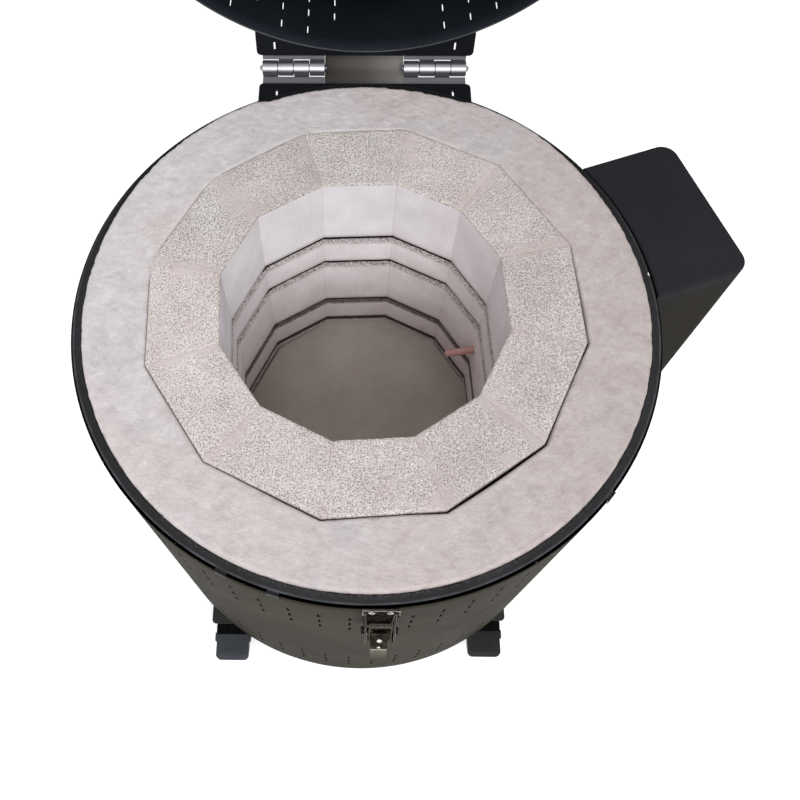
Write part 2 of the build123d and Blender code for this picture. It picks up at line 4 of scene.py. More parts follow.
import bmesh
import bpy
import numpy as np
from mathutils import Matrix, Vector
from mathutils.geometry import tessellate_polygon

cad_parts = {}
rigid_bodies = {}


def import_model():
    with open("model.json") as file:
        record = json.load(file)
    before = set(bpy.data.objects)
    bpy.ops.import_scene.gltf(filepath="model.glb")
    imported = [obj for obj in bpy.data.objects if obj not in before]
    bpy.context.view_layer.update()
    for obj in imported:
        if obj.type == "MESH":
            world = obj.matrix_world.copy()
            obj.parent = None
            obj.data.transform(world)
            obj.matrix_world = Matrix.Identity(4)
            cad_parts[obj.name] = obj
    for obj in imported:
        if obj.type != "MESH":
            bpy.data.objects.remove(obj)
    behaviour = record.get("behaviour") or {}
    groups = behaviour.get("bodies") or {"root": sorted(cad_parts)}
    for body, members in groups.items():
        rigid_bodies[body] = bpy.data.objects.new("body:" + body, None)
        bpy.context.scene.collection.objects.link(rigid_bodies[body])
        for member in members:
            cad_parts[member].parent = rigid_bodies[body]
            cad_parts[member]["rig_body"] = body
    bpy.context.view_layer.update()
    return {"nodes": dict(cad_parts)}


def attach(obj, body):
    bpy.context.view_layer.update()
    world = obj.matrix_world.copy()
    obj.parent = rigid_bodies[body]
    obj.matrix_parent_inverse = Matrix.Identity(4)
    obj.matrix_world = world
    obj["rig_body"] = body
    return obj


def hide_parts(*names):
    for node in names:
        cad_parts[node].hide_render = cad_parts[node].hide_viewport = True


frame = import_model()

T = 513.0                    # millimetres from the floor to the top of the bricks
HY, HZ = 284.7, -5.5         # lid hinge axis
OPEN = math.radians(-98.95)
scene = bpy.context.scene


# ------------------------------------------------------------------ noise
class Perlin:
    def __init__(self, seed):
        r = np.random.RandomState(seed)
        p = r.permutation(256)
        self.p = np.concatenate([p, p, p])
        g = r.normal(size=(256, 3))
        self.g = g / np.linalg.norm(g, axis=1)[:, None]

    def __call__(self, q):
        q = np.asarray(q, float).reshape(-1, 3)
        i = np.floor(q).astype(int)
        f = q - i
        u = f * f * f * (f * (f * 6 - 15) + 10)
        out = np.zeros(len(q))
        for dx in (0, 1):
            for dy in (0, 1):
                for dz in (0, 1):
                    h = self.p[self.p[self.p[(i[:, 0] + dx) & 255] + ((i[:, 1] + dy) & 255)] + ((i[:, 2] + dz) & 255)]
                    d = (self.g[h & 255] * (f - np.array([dx, dy, dz]))).sum(1)
                    w = (u[:, 0] if dx else 1 - u[:, 0]) * (u[:, 1] if dy else 1 - u[:, 1]) * (u[:, 2] if dz else 1 - u[:, 2])
                    out += w * d
        return out * 1.6

    def fbm(self, q, n=3, gain=0.5):
        q = np.asarray(q, float).reshape(-1, 3)
        a, s, out = 1.0, 1.0, np.zeros(len(q))
        for k in range(n):
            out += a * self(q * s + 17.3 * k)
            a *= gain
            s *= 2.03
        return out


PN = Perlin(7)
PN2 = Perlin(23)


# ------------------------------------------------------------------ materials
def lin(*c):
    out = []
    for v in c:
        v = v / 255.0
        out.append(v / 12.92 if v <= 0.04045 else ((v + 0.055) / 1.055) ** 2.4)
    return tuple(out) + (1.0,)


class Mat:
    """A node material with short helpers."""

    def __init__(self, name):
        self.m = bpy.data.materials.new(name)
        self.m.use_nodes = True
        self.nt = self.m.node_tree
        self.bsdf = self.nt.nodes["Principled BSDF"]
        self.co = self.n("ShaderNodeTexCoord").outputs["Object"]

    def n(self, kind, **props):
        node = self.nt.nodes.new(kind)
        for k, v in props.items():
            setattr(node, k, v)
        return node

    def link(self, a, b):
        self.nt.links.new(a, b)

    def put(self, sock, value):
        if isinstance(value, bpy.types.NodeSocket):
            self.link(value, sock)
        else:
            sock.default_value = value

    def scale(self, s, rot=(0, 0, 0)):
        mp = self.n("ShaderNodeMapping")
        mp.inputs["Scale"].default_value = s
        mp.inputs["Rotation"].default_value = rot
        self.link(self.co, mp.inputs["Vector"])
        return mp.outputs[0]

    def noise(self, scale, detail=2.0, rough=0.5, vec=None, dist=0.0):
        t = self.n("ShaderNodeTexNoise")
        t.inputs["Scale"].default_value = scale
        t.inputs["Detail"].default_value = detail
        t.inputs["Roughness"].default_value = rough
        t.inputs["Distortion"].default_value = dist
        self.link(vec if vec is not None else self.co, t.inputs["Vector"])
        return t.outputs["Fac"]

    def voro(self, scale, feature="F1", vec=None, rand=1.0, out="Distance", dims="3D"):
        t = self.n("ShaderNodeTexVoronoi", feature=feature, voronoi_dimensions=dims)
        t.inputs["Scale"].default_value = scale
        t.inputs["Randomness"].default_value = rand
        self.link(vec if vec is not None else self.co, t.inputs["Vector"])
        return t.outputs[out]

    def ramp(self, fac, stops):
        r = self.n("ShaderNodeValToRGB")
        el = r.color_ramp.elements
        while len(el) < len(stops):
            el.new(0.5)
        for e, (p, c) in zip(el, stops):
            e.position = p
            e.color = c if len(c) == 4 else tuple(c) + (1.0,)
        self.link(fac, r.inputs["Fac"])
        return r.outputs["Color"]

    def val(self, fac, a, b, lo=0.0, hi=1.0):
        r = self.n("ShaderNodeMapRange")
        r.inputs["From Min"].default_value = lo
        r.inputs["From Max"].default_value = hi
        r.inputs["To Min"].default_value = a
        r.inputs["To Max"].default_value = b
        self.link(fac, r.inputs["Value"])
        return r.outputs["Result"]

    def math(self, op, a, b=0.0, clamp=False):
        t = self.n("ShaderNodeMath", operation=op, use_clamp=clamp)
        self.put(t.inputs[0], a)
        self.put(t.inputs[1], b)
        return t.outputs[0]

    def mix(self, fac, a, b, mode="MIX"):
        t = self.n("ShaderNodeMix", data_type="RGBA", blend_type=mode)
        self.put(t.inputs[0], fac)
        self.put(t.inputs[6], a)
        self.put(t.inputs[7], b)
        return t.outputs[2]

    def attr(self, name, out="Fac"):
        t = self.n("ShaderNodeAttribute", attribute_name=name)
        return t.outputs[out]

    def bump(self, height, dist, strength=1.0, normal=None):
        b = self.n("ShaderNodeBump")
        b.inputs["Strength"].default_value = strength
        b.inputs["Distance"].default_value = dist
        self.link(height, b.inputs["Height"])
        if normal is not None:
            self.link(normal, b.inputs["Normal"])
        return b.outputs["Normal"]

    def out(self, color=None, rough=None, metal=None, normal=None, **kw):
        b = self.bsdf
        if color is not None:
            self.put(b.inputs["Base Color"], color)
        if rough is not None:
            self.put(b.inputs["Roughness"], rough)
        if metal is not None:
            self.put(b.inputs["Metallic"], metal)
        if normal is not None:
            self.put(b.inputs["Normal"], normal)
        for k, v in kw.items():
            self.put(b.inputs[k.replace("_", " ")], v)
        return self.m


def paint(name, base, dark, light, rough=0.5, spec=0.35, peel=900.0, peel_d=0.00004, metal=0.0):
    """Coated sheet metal: fine orange peel, slow colour drift and small scuffs."""
    m = Mat(name)
    slow = m.noise(5.0, 3.0, 0.55)
    fine = m.noise(160.0, 4.0, 0.6)
    c = m.ramp(m.math("ADD", m.math("MULTIPLY", slow, 0.75), m.math("MULTIPLY", fine, 0.25)), [(0.3, dark), (0.5, base), (0.72, light)])
    scuff = m.noise(60.0, 6.0, 0.75, vec=m.scale((1.0, 1.0, 0.25)))
    c = m.mix(m.val(scuff, 0.0, 0.35, 0.66, 0.8), c, light)
    n1 = m.bump(m.noise(peel, 2.0, 0.5), peel_d, 0.5)
    n2 = m.bump(m.noise(22.0, 2.0, 0.5), 0.0006, 0.25, n1)
    r = m.val(m.noise(35.0, 4.0, 0.6), rough - 0.07, rough + 0.1)
    return m.out(c, r, metal, n2, Specular_IOR_Level=spec)


def steel(name, base, dark, rough=0.3, grain=(1.0, 60.0, 60.0), spots=0.0, depth=0.00003):
    """Brushed steel: long fine grain, cloudy tint, roughness that follows the grain."""
    m = Mat(name)
    g = m.noise(70.0, 5.0, 0.7, vec=m.scale(grain))
    cloud = m.noise(30.0, 3.0, 0.6)
    c = m.ramp(m.math("ADD", m.math("MULTIPLY", g, 0.6), m.math("MULTIPLY", cloud, 0.4)), [(0.3, dark), (0.6, base)])
    if spots:
        c = m.mix(m.val(m.noise(240.0, 5.0, 0.7), 0.0, spots, 0.6, 0.75), c, dark)
    r = m.val(g, rough - 0.08, rough + 0.14, 0.3, 0.7)
    return m.out(c, r, 1.0, m.bump(g, depth, 0.6))


def plastic(name, base, dark, rough=0.5, grain=700.0, depth=0.00005, spec=0.4):
    """Moulded plastic with a fine spark-eroded grain."""
    m = Mat(name)
    c = m.ramp(m.noise(40.0, 4.0, 0.6), [(0.3, dark), (0.65, base)])
    g = m.noise(grain, 3.0, 0.6)
    r = m.val(m.noise(90.0, 3.0, 0.5), rough - 0.06, rough + 0.08)
    return m.out(c, r, 0.0, m.bump(g, depth, 0.6), Specular_IOR_Level=spec)


M = {}
M["casing"] = paint("casing_paint", lin(48, 45, 38), lin(42, 39, 32), lin(57, 54, 46), 0.62, 0.02)
M["skirt"] = paint("lid_skirt_paint", lin(25, 29, 35), lin(20, 24, 29), lin(32, 37, 43), 0.6, 0.08)
M["lid_top"] = paint("lid_top_paint", lin(26, 30, 36), lin(21, 25, 30), lin(34, 39, 45), 0.58, 0.12)
# lighter copy of the lid paint for the rolled hem: a painted edge highlight
M["hem"] = paint("hem_paint_highlight", lin(52, 55, 60), lin(42, 44, 48), lin(74, 77, 82), 0.45, 0.3)
M["plate_paint"] = paint("plate_paint", lin(17, 19, 24), lin(13, 14, 18), lin(26, 28, 33), 0.6, 0.08)


def make_box():
    """Dark coated box whose sides turn a shade browner and darker below the top edge: painted shade and brown floor
    reflection.
    """
    m = Mat("box_paint")
    sep = m.n("ShaderNodeSeparateXYZ")
    m.link(m.co, sep.inputs[0])
    slow = m.noise(5.0, 3.0, 0.55)
    fine = m.noise(160.0, 4.0, 0.6)
    c = m.ramp(m.math("ADD", m.math("MULTIPLY", slow, 0.75), m.math("MULTIPLY", fine, 0.25)), [(0.3, lin(33, 34, 36)), (0.5, lin(36, 37, 40)), (0.72, lin(42, 43, 46))])
    # painted shade and reflection: the sides below the top edge are mixed towards a browner, darker colour
    low = m.val(m.math("ADD", sep.outputs[2], m.math("MULTIPLY", slow, 0.003)), 0.85, 0.0, 0.480, 0.5025)
    c = m.mix(low, c, lin(37, 34, 30))
    n1 = m.bump(m.noise(700.0, 2.0, 0.5), 0.00006, 0.5)
    n2 = m.bump(m.noise(22.0, 2.0, 0.5), 0.0006, 0.25, n1)
    return m.out(c, m.val(m.noise(35.0, 4.0, 0.6), 0.52, 0.66), 0.0, n2, Specular_IOR_Level=0.01)


M["box"] = make_box()
M["shell"] = paint("shell_dark", lin(14, 14, 14), lin(9, 9, 9), lin(22, 22, 22), 0.7, 0.05)
M["shell_black"] = paint("inner_shell_black", lin(5, 5, 5), lin(3, 3, 3), lin(9, 9, 9), 0.8, 0.02)
M["stainless"] = steel("stainless_steel", lin(162, 163, 168), lin(146, 147, 152), 0.38, (1.0, 20.0, 20.0), 0.0, 0.000004)
# darker copies of the hinge steel: painted shade on the flat strips, the bevels and the knuckle ends
M["leaf_flat"] = paint("leaf_flat_shaded_steel", lin(104, 105, 110), lin(95, 96, 101), lin(116, 117, 122), 0.5, 0.06, 900.0, 0.00001)
M["leaf_edge"] = steel("leaf_edge_shaded_steel", lin(86, 87, 92), lin(70, 71, 76), 0.5, (1.0, 20.0, 20.0), 0.0, 0.000004)
M["leaf_end"] = steel("leaf_end_shaded_steel", lin(44, 44, 46), lin(30, 30, 32), 0.5, (1.0, 20.0, 20.0))
# bright steel for painted highlights and glints on the latch bevels, rivet heads and lever bosses
M["edge"] = steel("latch_bright_highlight_steel", lin(214, 211, 204), lin(150, 146, 138), 0.18, (40.0, 40.0, 1.0), 0.1)
M["zinc"] = steel("zinc_plate", lin(150, 152, 154), lin(104, 106, 110), 0.34, (30.0, 1.0, 30.0), 0.25)
M["fork"] = paint("fork_paint", lin(9, 9, 9), lin(6, 6, 6), lin(16, 16, 17), 0.6, 0.03)
M["caster_paint"] = paint("caster_plate_paint", lin(40, 40, 41), lin(33, 33, 34), lin(52, 52, 53), 0.55, 0.12)
M["pedal"] = plastic("pedal_plastic", lin(58, 61, 65), lin(51, 53, 57), 0.55, spec=0.1)
# darker copy of the pedal plastic for the right pedal: painted shade
M["pedal_shaded"] = plastic("pedal_plastic_shaded", lin(38, 39, 40), lin(33, 34, 35), 0.55, spec=0.1)
M["black_plastic"] = plastic("black_plastic", lin(24, 24, 26), lin(16, 16, 18), 0.46, spec=0.25)
M["grey_plastic"] = plastic("grey_plastic", lin(150, 150, 148), lin(132, 132, 130), 0.5)
M["hub"] = plastic("wheel_hub_plastic", lin(92, 94, 97), lin(74, 76, 79), 0.5)
M["lamp"] = plastic("lamp_plastic", lin(176, 34, 22), lin(140, 20, 14), 0.18, 200.0, 0.00002, 0.6)
M["alu"] = steel("sink_aluminium", lin(170, 171, 174), lin(134, 135, 139), 0.36, (1.0, 30.0, 1.0))


def make_latch(name, painted_light_z_stops=None):
    """Dark nickel with cloudy pale and brown patches: a painted reflection of a dark room in the plating. Height stops,
    when given, paint a lighter band up the piece, a painted highlight.
    """
    m = Mat(name)
    g = m.noise(70.0, 5.0, 0.7, vec=m.scale((30.0, 30.0, 1.0)))
    cloud = m.noise(150.0, 4.0, 0.65, dist=0.8)
    f = m.math("ADD", m.math("MULTIPLY", g, 0.35), m.math("MULTIPLY", cloud, 0.65))
    c = m.ramp(f, [(0.36, lin(20, 17, 15)), (0.48, lin(33, 30, 26)), (0.58, lin(50, 46, 41)), (0.7, lin(96, 92, 84))])
    if painted_light_z_stops:
        sep = m.n("ShaderNodeSeparateXYZ")
        m.link(m.co, sep.inputs[0])
        z0, z1, stops = painted_light_z_stops
        # painted highlight: the colour runs from dark at the lower stop to light at the upper
        along = m.ramp(m.val(sep.outputs[2], 0.0, 1.0, z0, z1), stops)
        c = m.mix(m.val(f, 0.85, 0.5, 0.35, 0.7), c, along)
    return m.out(c, m.val(g, 0.34, 0.5, 0.3, 0.7), 0.0, m.bump(g, 0.00001, 0.5), Specular_IOR_Level=0.0)


M["nickel"] = make_latch("latch_dark_nickel")
# painted light: the link lightens a little towards its top, and the tail runs from dark at its tip to a bright upper
# edge
M["link"] = make_latch("latch_link_nickel", (0.44, 0.505, [(0.0, lin(58, 54, 48)), (1.0, lin(66, 62, 56))]))
M["tail"] = make_latch("latch_tail_nickel_highlight", (0.4180, 0.4296, [(0.0, lin(60, 57, 51)), (0.35, lin(90, 87, 78)), (0.8, lin(114, 110, 101)), (1.0, lin(186, 183, 176))]))


def make_stop():
    """Satin steel between the hinges, browner and duller towards the left: painted shade there, and painted light
    towards the right.
    """
    m = Mat("stop_plate_steel")
    sep = m.n("ShaderNodeSeparateXYZ")
    m.link(m.co, sep.inputs[0])
    g = m.noise(70.0, 5.0, 0.7, vec=m.scale((1.0, 60.0, 60.0)))
    # painted shade and light: dark at the left end, light at the right
    along = m.ramp(m.val(sep.outputs[0], 0.0, 1.0, -0.042, 0.042), [(0.0, lin(46, 44, 42)), (0.5, lin(74, 71, 68)), (1.0, lin(118, 116, 113))])
    c = m.mix(m.val(g, 0.0, 0.12, 0.35, 0.7), along, lin(140, 137, 132))
    return m.out(c, m.val(g, 0.6, 0.74, 0.3, 0.7), 0.1, m.bump(g, 0.00001, 0.3), Specular_IOR_Level=0.12)


M["stop"] = make_stop()


def make_display():
    m = Mat("display_plastic")
    g = m.noise(60.0, 3.0, 0.5)
    c = m.ramp(g, [(0.35, lin(16, 17, 20)), (0.7, lin(24, 25, 30))])
    return m.out(c, m.val(m.noise(25.0, 3.0, 0.6), 0.08, 0.2), 0.0, m.bump(m.noise(18.0, 1.0, 0.5), 0.0002, 0.1), Specular_IOR_Level=0.6)


M["display"] = make_display()


def make_rubber():
    m = Mat("wheel_rubber")
    c = m.ramp(m.noise(120.0, 5.0, 0.65), [(0.3, lin(20, 20, 21)), (0.7, lin(36, 36, 38))])
    return m.out(c, m.val(m.noise(60.0, 3.0, 0.5), 0.6, 0.78), 0.0, m.bump(m.noise(500.0, 3.0, 0.6), 0.0001, 0.6), Specular_IOR_Level=0.3)


M["rubber"] = make_rubber()


def make_ring():
    """Dark paint on the rim ring, with fibre dust along its inner edge, a painted highlight on its outer lip, painted
    shade beyond the lip and at the back, and one small pale spot.
    """
    m = Mat("rim_ring_paint")
    slow = m.noise(9.0, 4.0, 0.6)
    fine = m.noise(220.0, 4.0, 0.6)
    c = m.ramp(m.math("ADD", m.math("MULTIPLY", slow, 0.7), m.math("MULTIPLY", fine, 0.3)), [(0.3, lin(27, 27, 28)), (0.5, lin(34, 34, 36)), (0.72, lin(46, 46, 48))])
    sep = m.n("ShaderNodeSeparateXYZ")
    m.link(m.co, sep.inputs[0])
    rr = m.math("SQRT", m.math("ADD", m.math("MULTIPLY", sep.outputs[0], sep.outputs[0]), m.math("MULTIPLY", sep.outputs[1], sep.outputs[1])))
    near = m.val(rr, 1.0, 0.0, 0.2570, 0.2605)
    front = m.val(sep.outputs[1], 1.0, 0.25, -0.25, -0.17)
    dust = m.math("MULTIPLY", m.math("MULTIPLY", near, front), m.val(m.noise(640.0, 4.0, 0.75), 0.0, 1.0, 0.5, 0.62), True)
    c = m.mix(m.math("MULTIPLY", dust, 0.33), c, lin(120, 116, 114))
    # painted highlight along the outer lip
    lip_highlight = m.math("MULTIPLY", m.val(rr, 0.0, 1.0, 0.2622, 0.2631), m.val(m.noise(60.0, 3.0, 0.6), 0.2, 0.8, 0.35, 0.65), True)
    c = m.mix(lip_highlight, c, lin(70, 73, 78))
    # painted shadow: near-black beyond the lip, over the tabs and the gap under the ring
    c = m.mix(m.val(rr, 0.0, 0.95, 0.2643, 0.2652), c, lin(10, 10, 12))
    # painted shade: the ring turns near-black towards the back
    c = m.mix(m.val(sep.outputs[1], 0.0, 0.9, 0.02, 0.16), c, lin(14, 14, 16))
    # one small pale spot on the ring at the right
    d = m.n("ShaderNodeVectorMath", operation="DISTANCE")
    m.link(m.co, d.inputs[0])
    d.inputs[1].default_value = (0.2628, 0.0339, 0.507)
    c = m.mix(m.val(d.outputs["Value"], 1.0, 0.0, 0.0017, 0.0026), c, lin(226, 222, 216))
    n1 = m.bump(m.noise(900.0, 2.0, 0.5), 0.00004, 0.5)
    n2 = m.bump(m.noise(26.0, 3.0, 0.5), 0.0008, 0.3, n1)
    return m.out(c, m.val(m.noise(35.0, 4.0, 0.6), 0.46, 0.62), 0.0, n2, Specular_IOR_Level=0.14)


M["ring"] = make_ring()


def make_fibre():
    """Ceramic fibre blanket: cloudy off-white with felted strands and a few stained patches."""
    m = Mat("ceramic_fibre")
    wide = m.noise(9.0, 3.0, 0.55)
    cloud = m.noise(60.0, 5.0, 0.65, dist=0.6)
    strands = m.noise(300.0, 5.0, 0.72, vec=m.scale((0.7, 1.5, 1.0), (0, 0, 0.35)), dist=1.6)
    fuzz = m.noise(1100.0, 3.0, 0.7)
    f = m.math("ADD", m.math("MULTIPLY", cloud, 0.42), m.math("ADD", m.math("MULTIPLY", strands, 0.42), m.math("MULTIPLY", fuzz, 0.16)))
    pink = m.ramp(f, [(0.34, lin(168, 159, 159)), (0.45, lin(188, 179, 179)), (0.56, lin(199, 192, 191)), (0.7, lin(213, 208, 208))])
    grey = m.ramp(f, [(0.34, lin(168, 163, 165)), (0.45, lin(188, 183, 185)), (0.56, lin(199, 195, 197)), (0.7, lin(213, 210, 212))])
    sep = m.n("ShaderNodeSeparateXYZ")
    m.link(m.co, sep.inputs[0])
    lean = m.math("ADD", sep.outputs[0], m.math("MULTIPLY", sep.outputs[1], -0.38))
    c = m.mix(m.val(m.math("ADD", wide, m.math("MULTIPLY", lean, -0.6)), 0.0, 1.0, 0.38, 0.62), pink, grey)
    speck = m.noise(760.0, 4.0, 0.8)
    c = m.mix(m.val(speck, 0.0, 0.22, 0.64, 0.76), c, lin(150, 140, 136))
    # painted shade: the blanket is a little darker towards the control box, where less light falls
    drift = m.val(m.math("ADD", lean, m.math("MULTIPLY", wide, 0.12)), 0.0, 1.0, -0.24, 0.35)
    c = m.mix(1.0, c, m.ramp(drift, [(0.0, (1.0, 1.0, 1.0)), (1.0, (0.75, 0.725, 0.71))]), "MULTIPLY")
    # painted shade down in the crack round the bricks
    rr = m.math("SQRT", m.math("ADD", m.math("MULTIPLY", sep.outputs[0], sep.outputs[0]), m.math("MULTIPLY", sep.outputs[1], sep.outputs[1])))
    c = m.mix(m.math("MULTIPLY", m.val(rr, 1.0, 0.0, 0.206, 0.21), m.val(sep.outputs[2], 1.0, 0.0, 0.503, 0.507), True), c, lin(56, 50, 48))
    n = m.bump(strands, 0.0013, 0.6)
    n = m.bump(fuzz, 0.0003, 0.5, n)
    return m.out(c, 0.95, 0.0, n, Specular_IOR_Level=0.06)


M["fibre"] = make_fibre()


def make_brick():
    """Insulating fire brick. Attributes: top (1 on sawn top faces), tint (0 pink, 1 green-grey), lip (1 on broken lips, 2 inside grooves), worn (1 where the face is rubbed smooth), tone (shade of the brick)."""
    m = Mat("fire_brick")
    top, tint, lip, worn, tone = m.attr("top"), m.attr("tint"), m.attr("lip"), m.attr("worn"), m.attr("tone")
    cloud = m.noise(24.0, 4.0, 0.6)
    fine = m.noise(420.0, 4.0, 0.7)
    pink = m.ramp(cloud, [(0.35, lin(187, 177, 176)), (0.55, lin(196, 187, 186)), (0.7, lin(203, 195, 194))])
    green = m.ramp(cloud, [(0.35, lin(188, 182, 179)), (0.55, lin(197, 191, 188)), (0.7, lin(206, 201, 199))])
    rubbed = m.ramp(cloud, [(0.35, lin(184, 173, 171)), (0.6, lin(193, 183, 181))])
    c_top = m.mix(worn, m.mix(tint, pink, green), rubbed)
    c_wall = m.ramp(cloud, [(0.35, lin(226, 220, 222)), (0.55, lin(235, 230, 233)), (0.7, lin(241, 237, 240))])
    sep = m.n("ShaderNodeSeparateXYZ")
    m.link(m.co, sep.inputs[0])
    # painted shade: the brick tops darken towards the right
    c_top = m.mix(1.0, c_top, m.ramp(m.val(sep.outputs[0], 0.0, 1.0, -0.19, 0.19), [(0.0, (1.0, 1.0, 1.0)), (1.0, (0.86, 0.855, 0.85))]), "MULTIPLY")
    shade = m.n("ShaderNodeCombineColor")
    for k in range(3):
        m.link(tone, shade.inputs[k])
    c_top = m.mix(1.0, c_top, shade.outputs[0], "MULTIPLY")
    # painted light and shade down the walls: darker at the floor and near the top, brightest part way down
    painted_depth_shade = m.ramp(m.val(sep.outputs[2], 0.0, 1.0, 0.24, 0.513), [(0.0, (0.85, 0.81, 0.79)), (0.12, (0.89, 0.86, 0.84)), (0.34, (1.0, 0.98, 0.965)), (0.56, (0.95, 0.945, 0.93)), (0.83, (0.865, 0.87, 0.875)), (1.0, (0.865, 0.87, 0.875))])
    # painted shade: the walls on the right side are darker
    side_ = m.ramp(m.val(sep.outputs[0], 0.0, 1.0, 0.02, 0.12), [(0.0, (1.0, 1.0, 1.0)), (1.0, (0.88, 0.85, 0.84))])
    c_wall = m.mix(1.0, m.mix(1.0, c_wall, painted_depth_shade, "MULTIPLY"), side_, "MULTIPLY")
    rr = m.math("SQRT", m.math("ADD", m.math("MULTIPLY", sep.outputs[0], sep.outputs[0]), m.math("MULTIPLY", sep.outputs[1], sep.outputs[1])))
    # painted shade on the outer faces of the bricks, down in the crack
    c_wall = m.mix(m.val(rr, 0.0, 0.9, 0.186, 0.19), c_wall, lin(44, 38, 36))
    c = m.mix(top, c_wall, c_top)
    wm = m.math("ADD", m.math("MULTIPLY", top, m.math("SUBTRACT", 1.0, m.math("MULTIPLY", worn, 0.8))), m.math("ADD", m.math("MULTIPLY", lip, 0.5), 0.05), True)
    # fine pores in two sizes and pale grains between them
    each = m.n("ShaderNodeSeparateColor")
    m.link(m.voro(490.0, out="Color", dims="2D", rand=0.9), each.inputs[0])
    p1 = m.math("MULTIPLY", m.val(m.voro(490.0, dims="2D", rand=0.9), 1.0, 0.0, 0.16, 0.4), m.val(each.outputs[0], 0.35, 1.0, 0.1, 0.6), True)
    each2 = m.n("ShaderNodeSeparateColor")
    m.link(m.voro(800.0, out="Color", dims="2D"), each2.inputs[0])
    p2 = m.math("MULTIPLY", m.val(m.voro(800.0, dims="2D"), 1.0, 0.0, 0.15, 0.42), m.val(each2.outputs[0], 0.0, 1.0, 0.45, 0.8), True)
    pores = m.math("ADD", m.math("MULTIPLY", p1, 0.95), m.math("MULTIPLY", p2, 0.6), True)
    slow = m.val(m.noise(34.0, 3.0, 0.6), 0.75, 1.05, 0.35, 0.65)
    pores = m.math("MULTIPLY", m.math("MULTIPLY", pores, slow), wm, True)
    dark = m.mix(tint, lin(104, 90, 84), lin(84, 82, 74))
    c = m.mix(m.math("MULTIPLY", pores, m.math("ADD", 0.84, m.math("MULTIPLY", tint, 0.1))), c, dark)
    grain = m.math("MULTIPLY", m.val(m.noise(520.0, 3.0, 0.6), 0.0, 1.0, 0.5, 0.66), wm, True)
    c = m.mix(m.math("MULTIPLY", grain, 0.4), c, lin(232, 227, 223))
    rough = m.math("MULTIPLY", m.math("MINIMUM", lip, 1.0), m.val(m.noise(640.0, 5.0, 0.78), 0.12, 0.92, 0.41, 0.57), True)
    c = m.mix(rough, c, lin(92, 80, 76))
    # painted shade inside the grooves
    inside = m.math("SUBTRACT", lip, 1.0, True)
    c = m.mix(inside, c, m.ramp(m.noise(160.0, 4.0, 0.7), [(0.35, lin(34, 28, 27)), (0.7, lin(64, 54, 50))]))
    inv = m.math("SUBTRACT", 1.0, pores)
    n = m.bump(inv, 0.0004, 0.7)
    n = m.bump(fine, 0.0003, 0.5, n)
    return m.out(c, 0.93, 0.0, n, Specular_IOR_Level=0.12)


M["brick"] = make_brick()


def make_floor_brick():
    m = Mat("floor_brick")
    cloud = m.noise(14.0, 4.0, 0.6)
    fine = m.noise(300.0, 4.0, 0.65)
    c = m.ramp(m.math("ADD", m.math("MULTIPLY", cloud, 0.75), m.math("MULTIPLY", fine, 0.25)), [(0.3, lin(156, 146, 138)), (0.5, lin(169, 159, 151)), (0.7, lin(180, 171, 163))])
    return m.out(c, 0.9, 0.0, m.bump(fine, 0.0003, 0.5), Specular_IOR_Level=0.15)


M["floor_brick"] = make_floor_brick()


def make_sheath():
    m = Mat("sheath_ceramic")
    c = m.ramp(m.noise(160.0, 4.0, 0.65), [(0.3, lin(168, 120, 114)), (0.55, lin(184, 138, 131)), (0.75, lin(196, 156, 148))])
    return m.out(c, 0.6, 0.0, m.bump(m.noise(800.0, 3.0, 0.6), 0.0001, 0.5), Specular_IOR_Level=0.3)


M["sheath"] = make_sheath()


def make_white_ceramic():
    m = Mat("white_ceramic")
    c = m.ramp(m.noise(120.0, 4.0, 0.6), [(0.3, lin(206, 200, 190)), (0.7, lin(228, 223, 214))])
    return m.out(c, 0.55, 0.0, m.bump(m.noise(600.0, 3.0, 0.6), 0.0001, 0.5), Specular_IOR_Level=0.35)


M["white_ceramic"] = make_white_ceramic()


def make_wire():
    m = Mat("element_wire")
    g = m.noise(500.0, 4.0, 0.6)
    c = m.ramp(g, [(0.3, lin(48, 42, 40)), (0.7, lin(84, 74, 68))])
    return m.out(c, m.val(g, 0.5, 0.75), 0.6, m.bump(g, 0.00005, 0.5))


M["wire"] = make_wire()


# ------------------------------------------------------------------ mesh helpers
def world(V):
    """(N, 3) millimetres, z from the brick top, to metres in the row frame."""
    V = np.array(V, float).reshape(-1, 3).copy()
    V[:, 2] += T
    return V * 0.001


def opened(V):
    """Turns points of the closed lid to the rest pose."""
    V = np.array(V, float).reshape(-1, 3).copy()
    y, z = V[:, 1] - HY, V[:, 2] - HZ
    V[:, 1] = HY + y * math.cos(OPEN) - z * math.sin(OPEN)
    V[:, 2] = HZ + y * math.sin(OPEN) + z * math.cos(OPEN)
    return V


def make(name, V, F, mat, body="kiln", rep=(), slot=None, smooth=32.0, lid=False):
    """New piece from millimetre points and faces."""
    if lid:
        V = opened(V)
        body = "lid"
    V = world(V)
    me = bpy.data.meshes.new(name)
    if isinstance(F, np.ndarray):
        me.vertices.add(len(V))
        me.vertices.foreach_set("co", V.ravel())
        me.loops.add(F.size)
        me.loops.foreach_set("vertex_index", F.ravel().astype(np.int32))
        me.polygons.add(len(F))
        me.polygons.foreach_set("loop_start", np.arange(0, F.size, F.shape[1], dtype=np.int32))
        me.update(calc_edges=True)
        me.validate()
    else:
        me.from_pydata([tuple(v) for v in V], [], F)
        me.update()
    return finish_piece(name, me, mat, body, rep, smooth)


def finish_piece(name, me, mat, body, rep=(), smooth=32.0):
    me.polygons.foreach_set("use_smooth", [smooth > 0] * len(me.polygons))
    if 0 < smooth < 180:
        me.set_sharp_from_angle(angle=math.radians(smooth))
    o = bpy.data.objects.new(name, me)
    scene.collection.objects.link(o)
    me.materials.append(mat)
    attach(o, body)
    if rep:
        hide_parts(*rep)
    return o


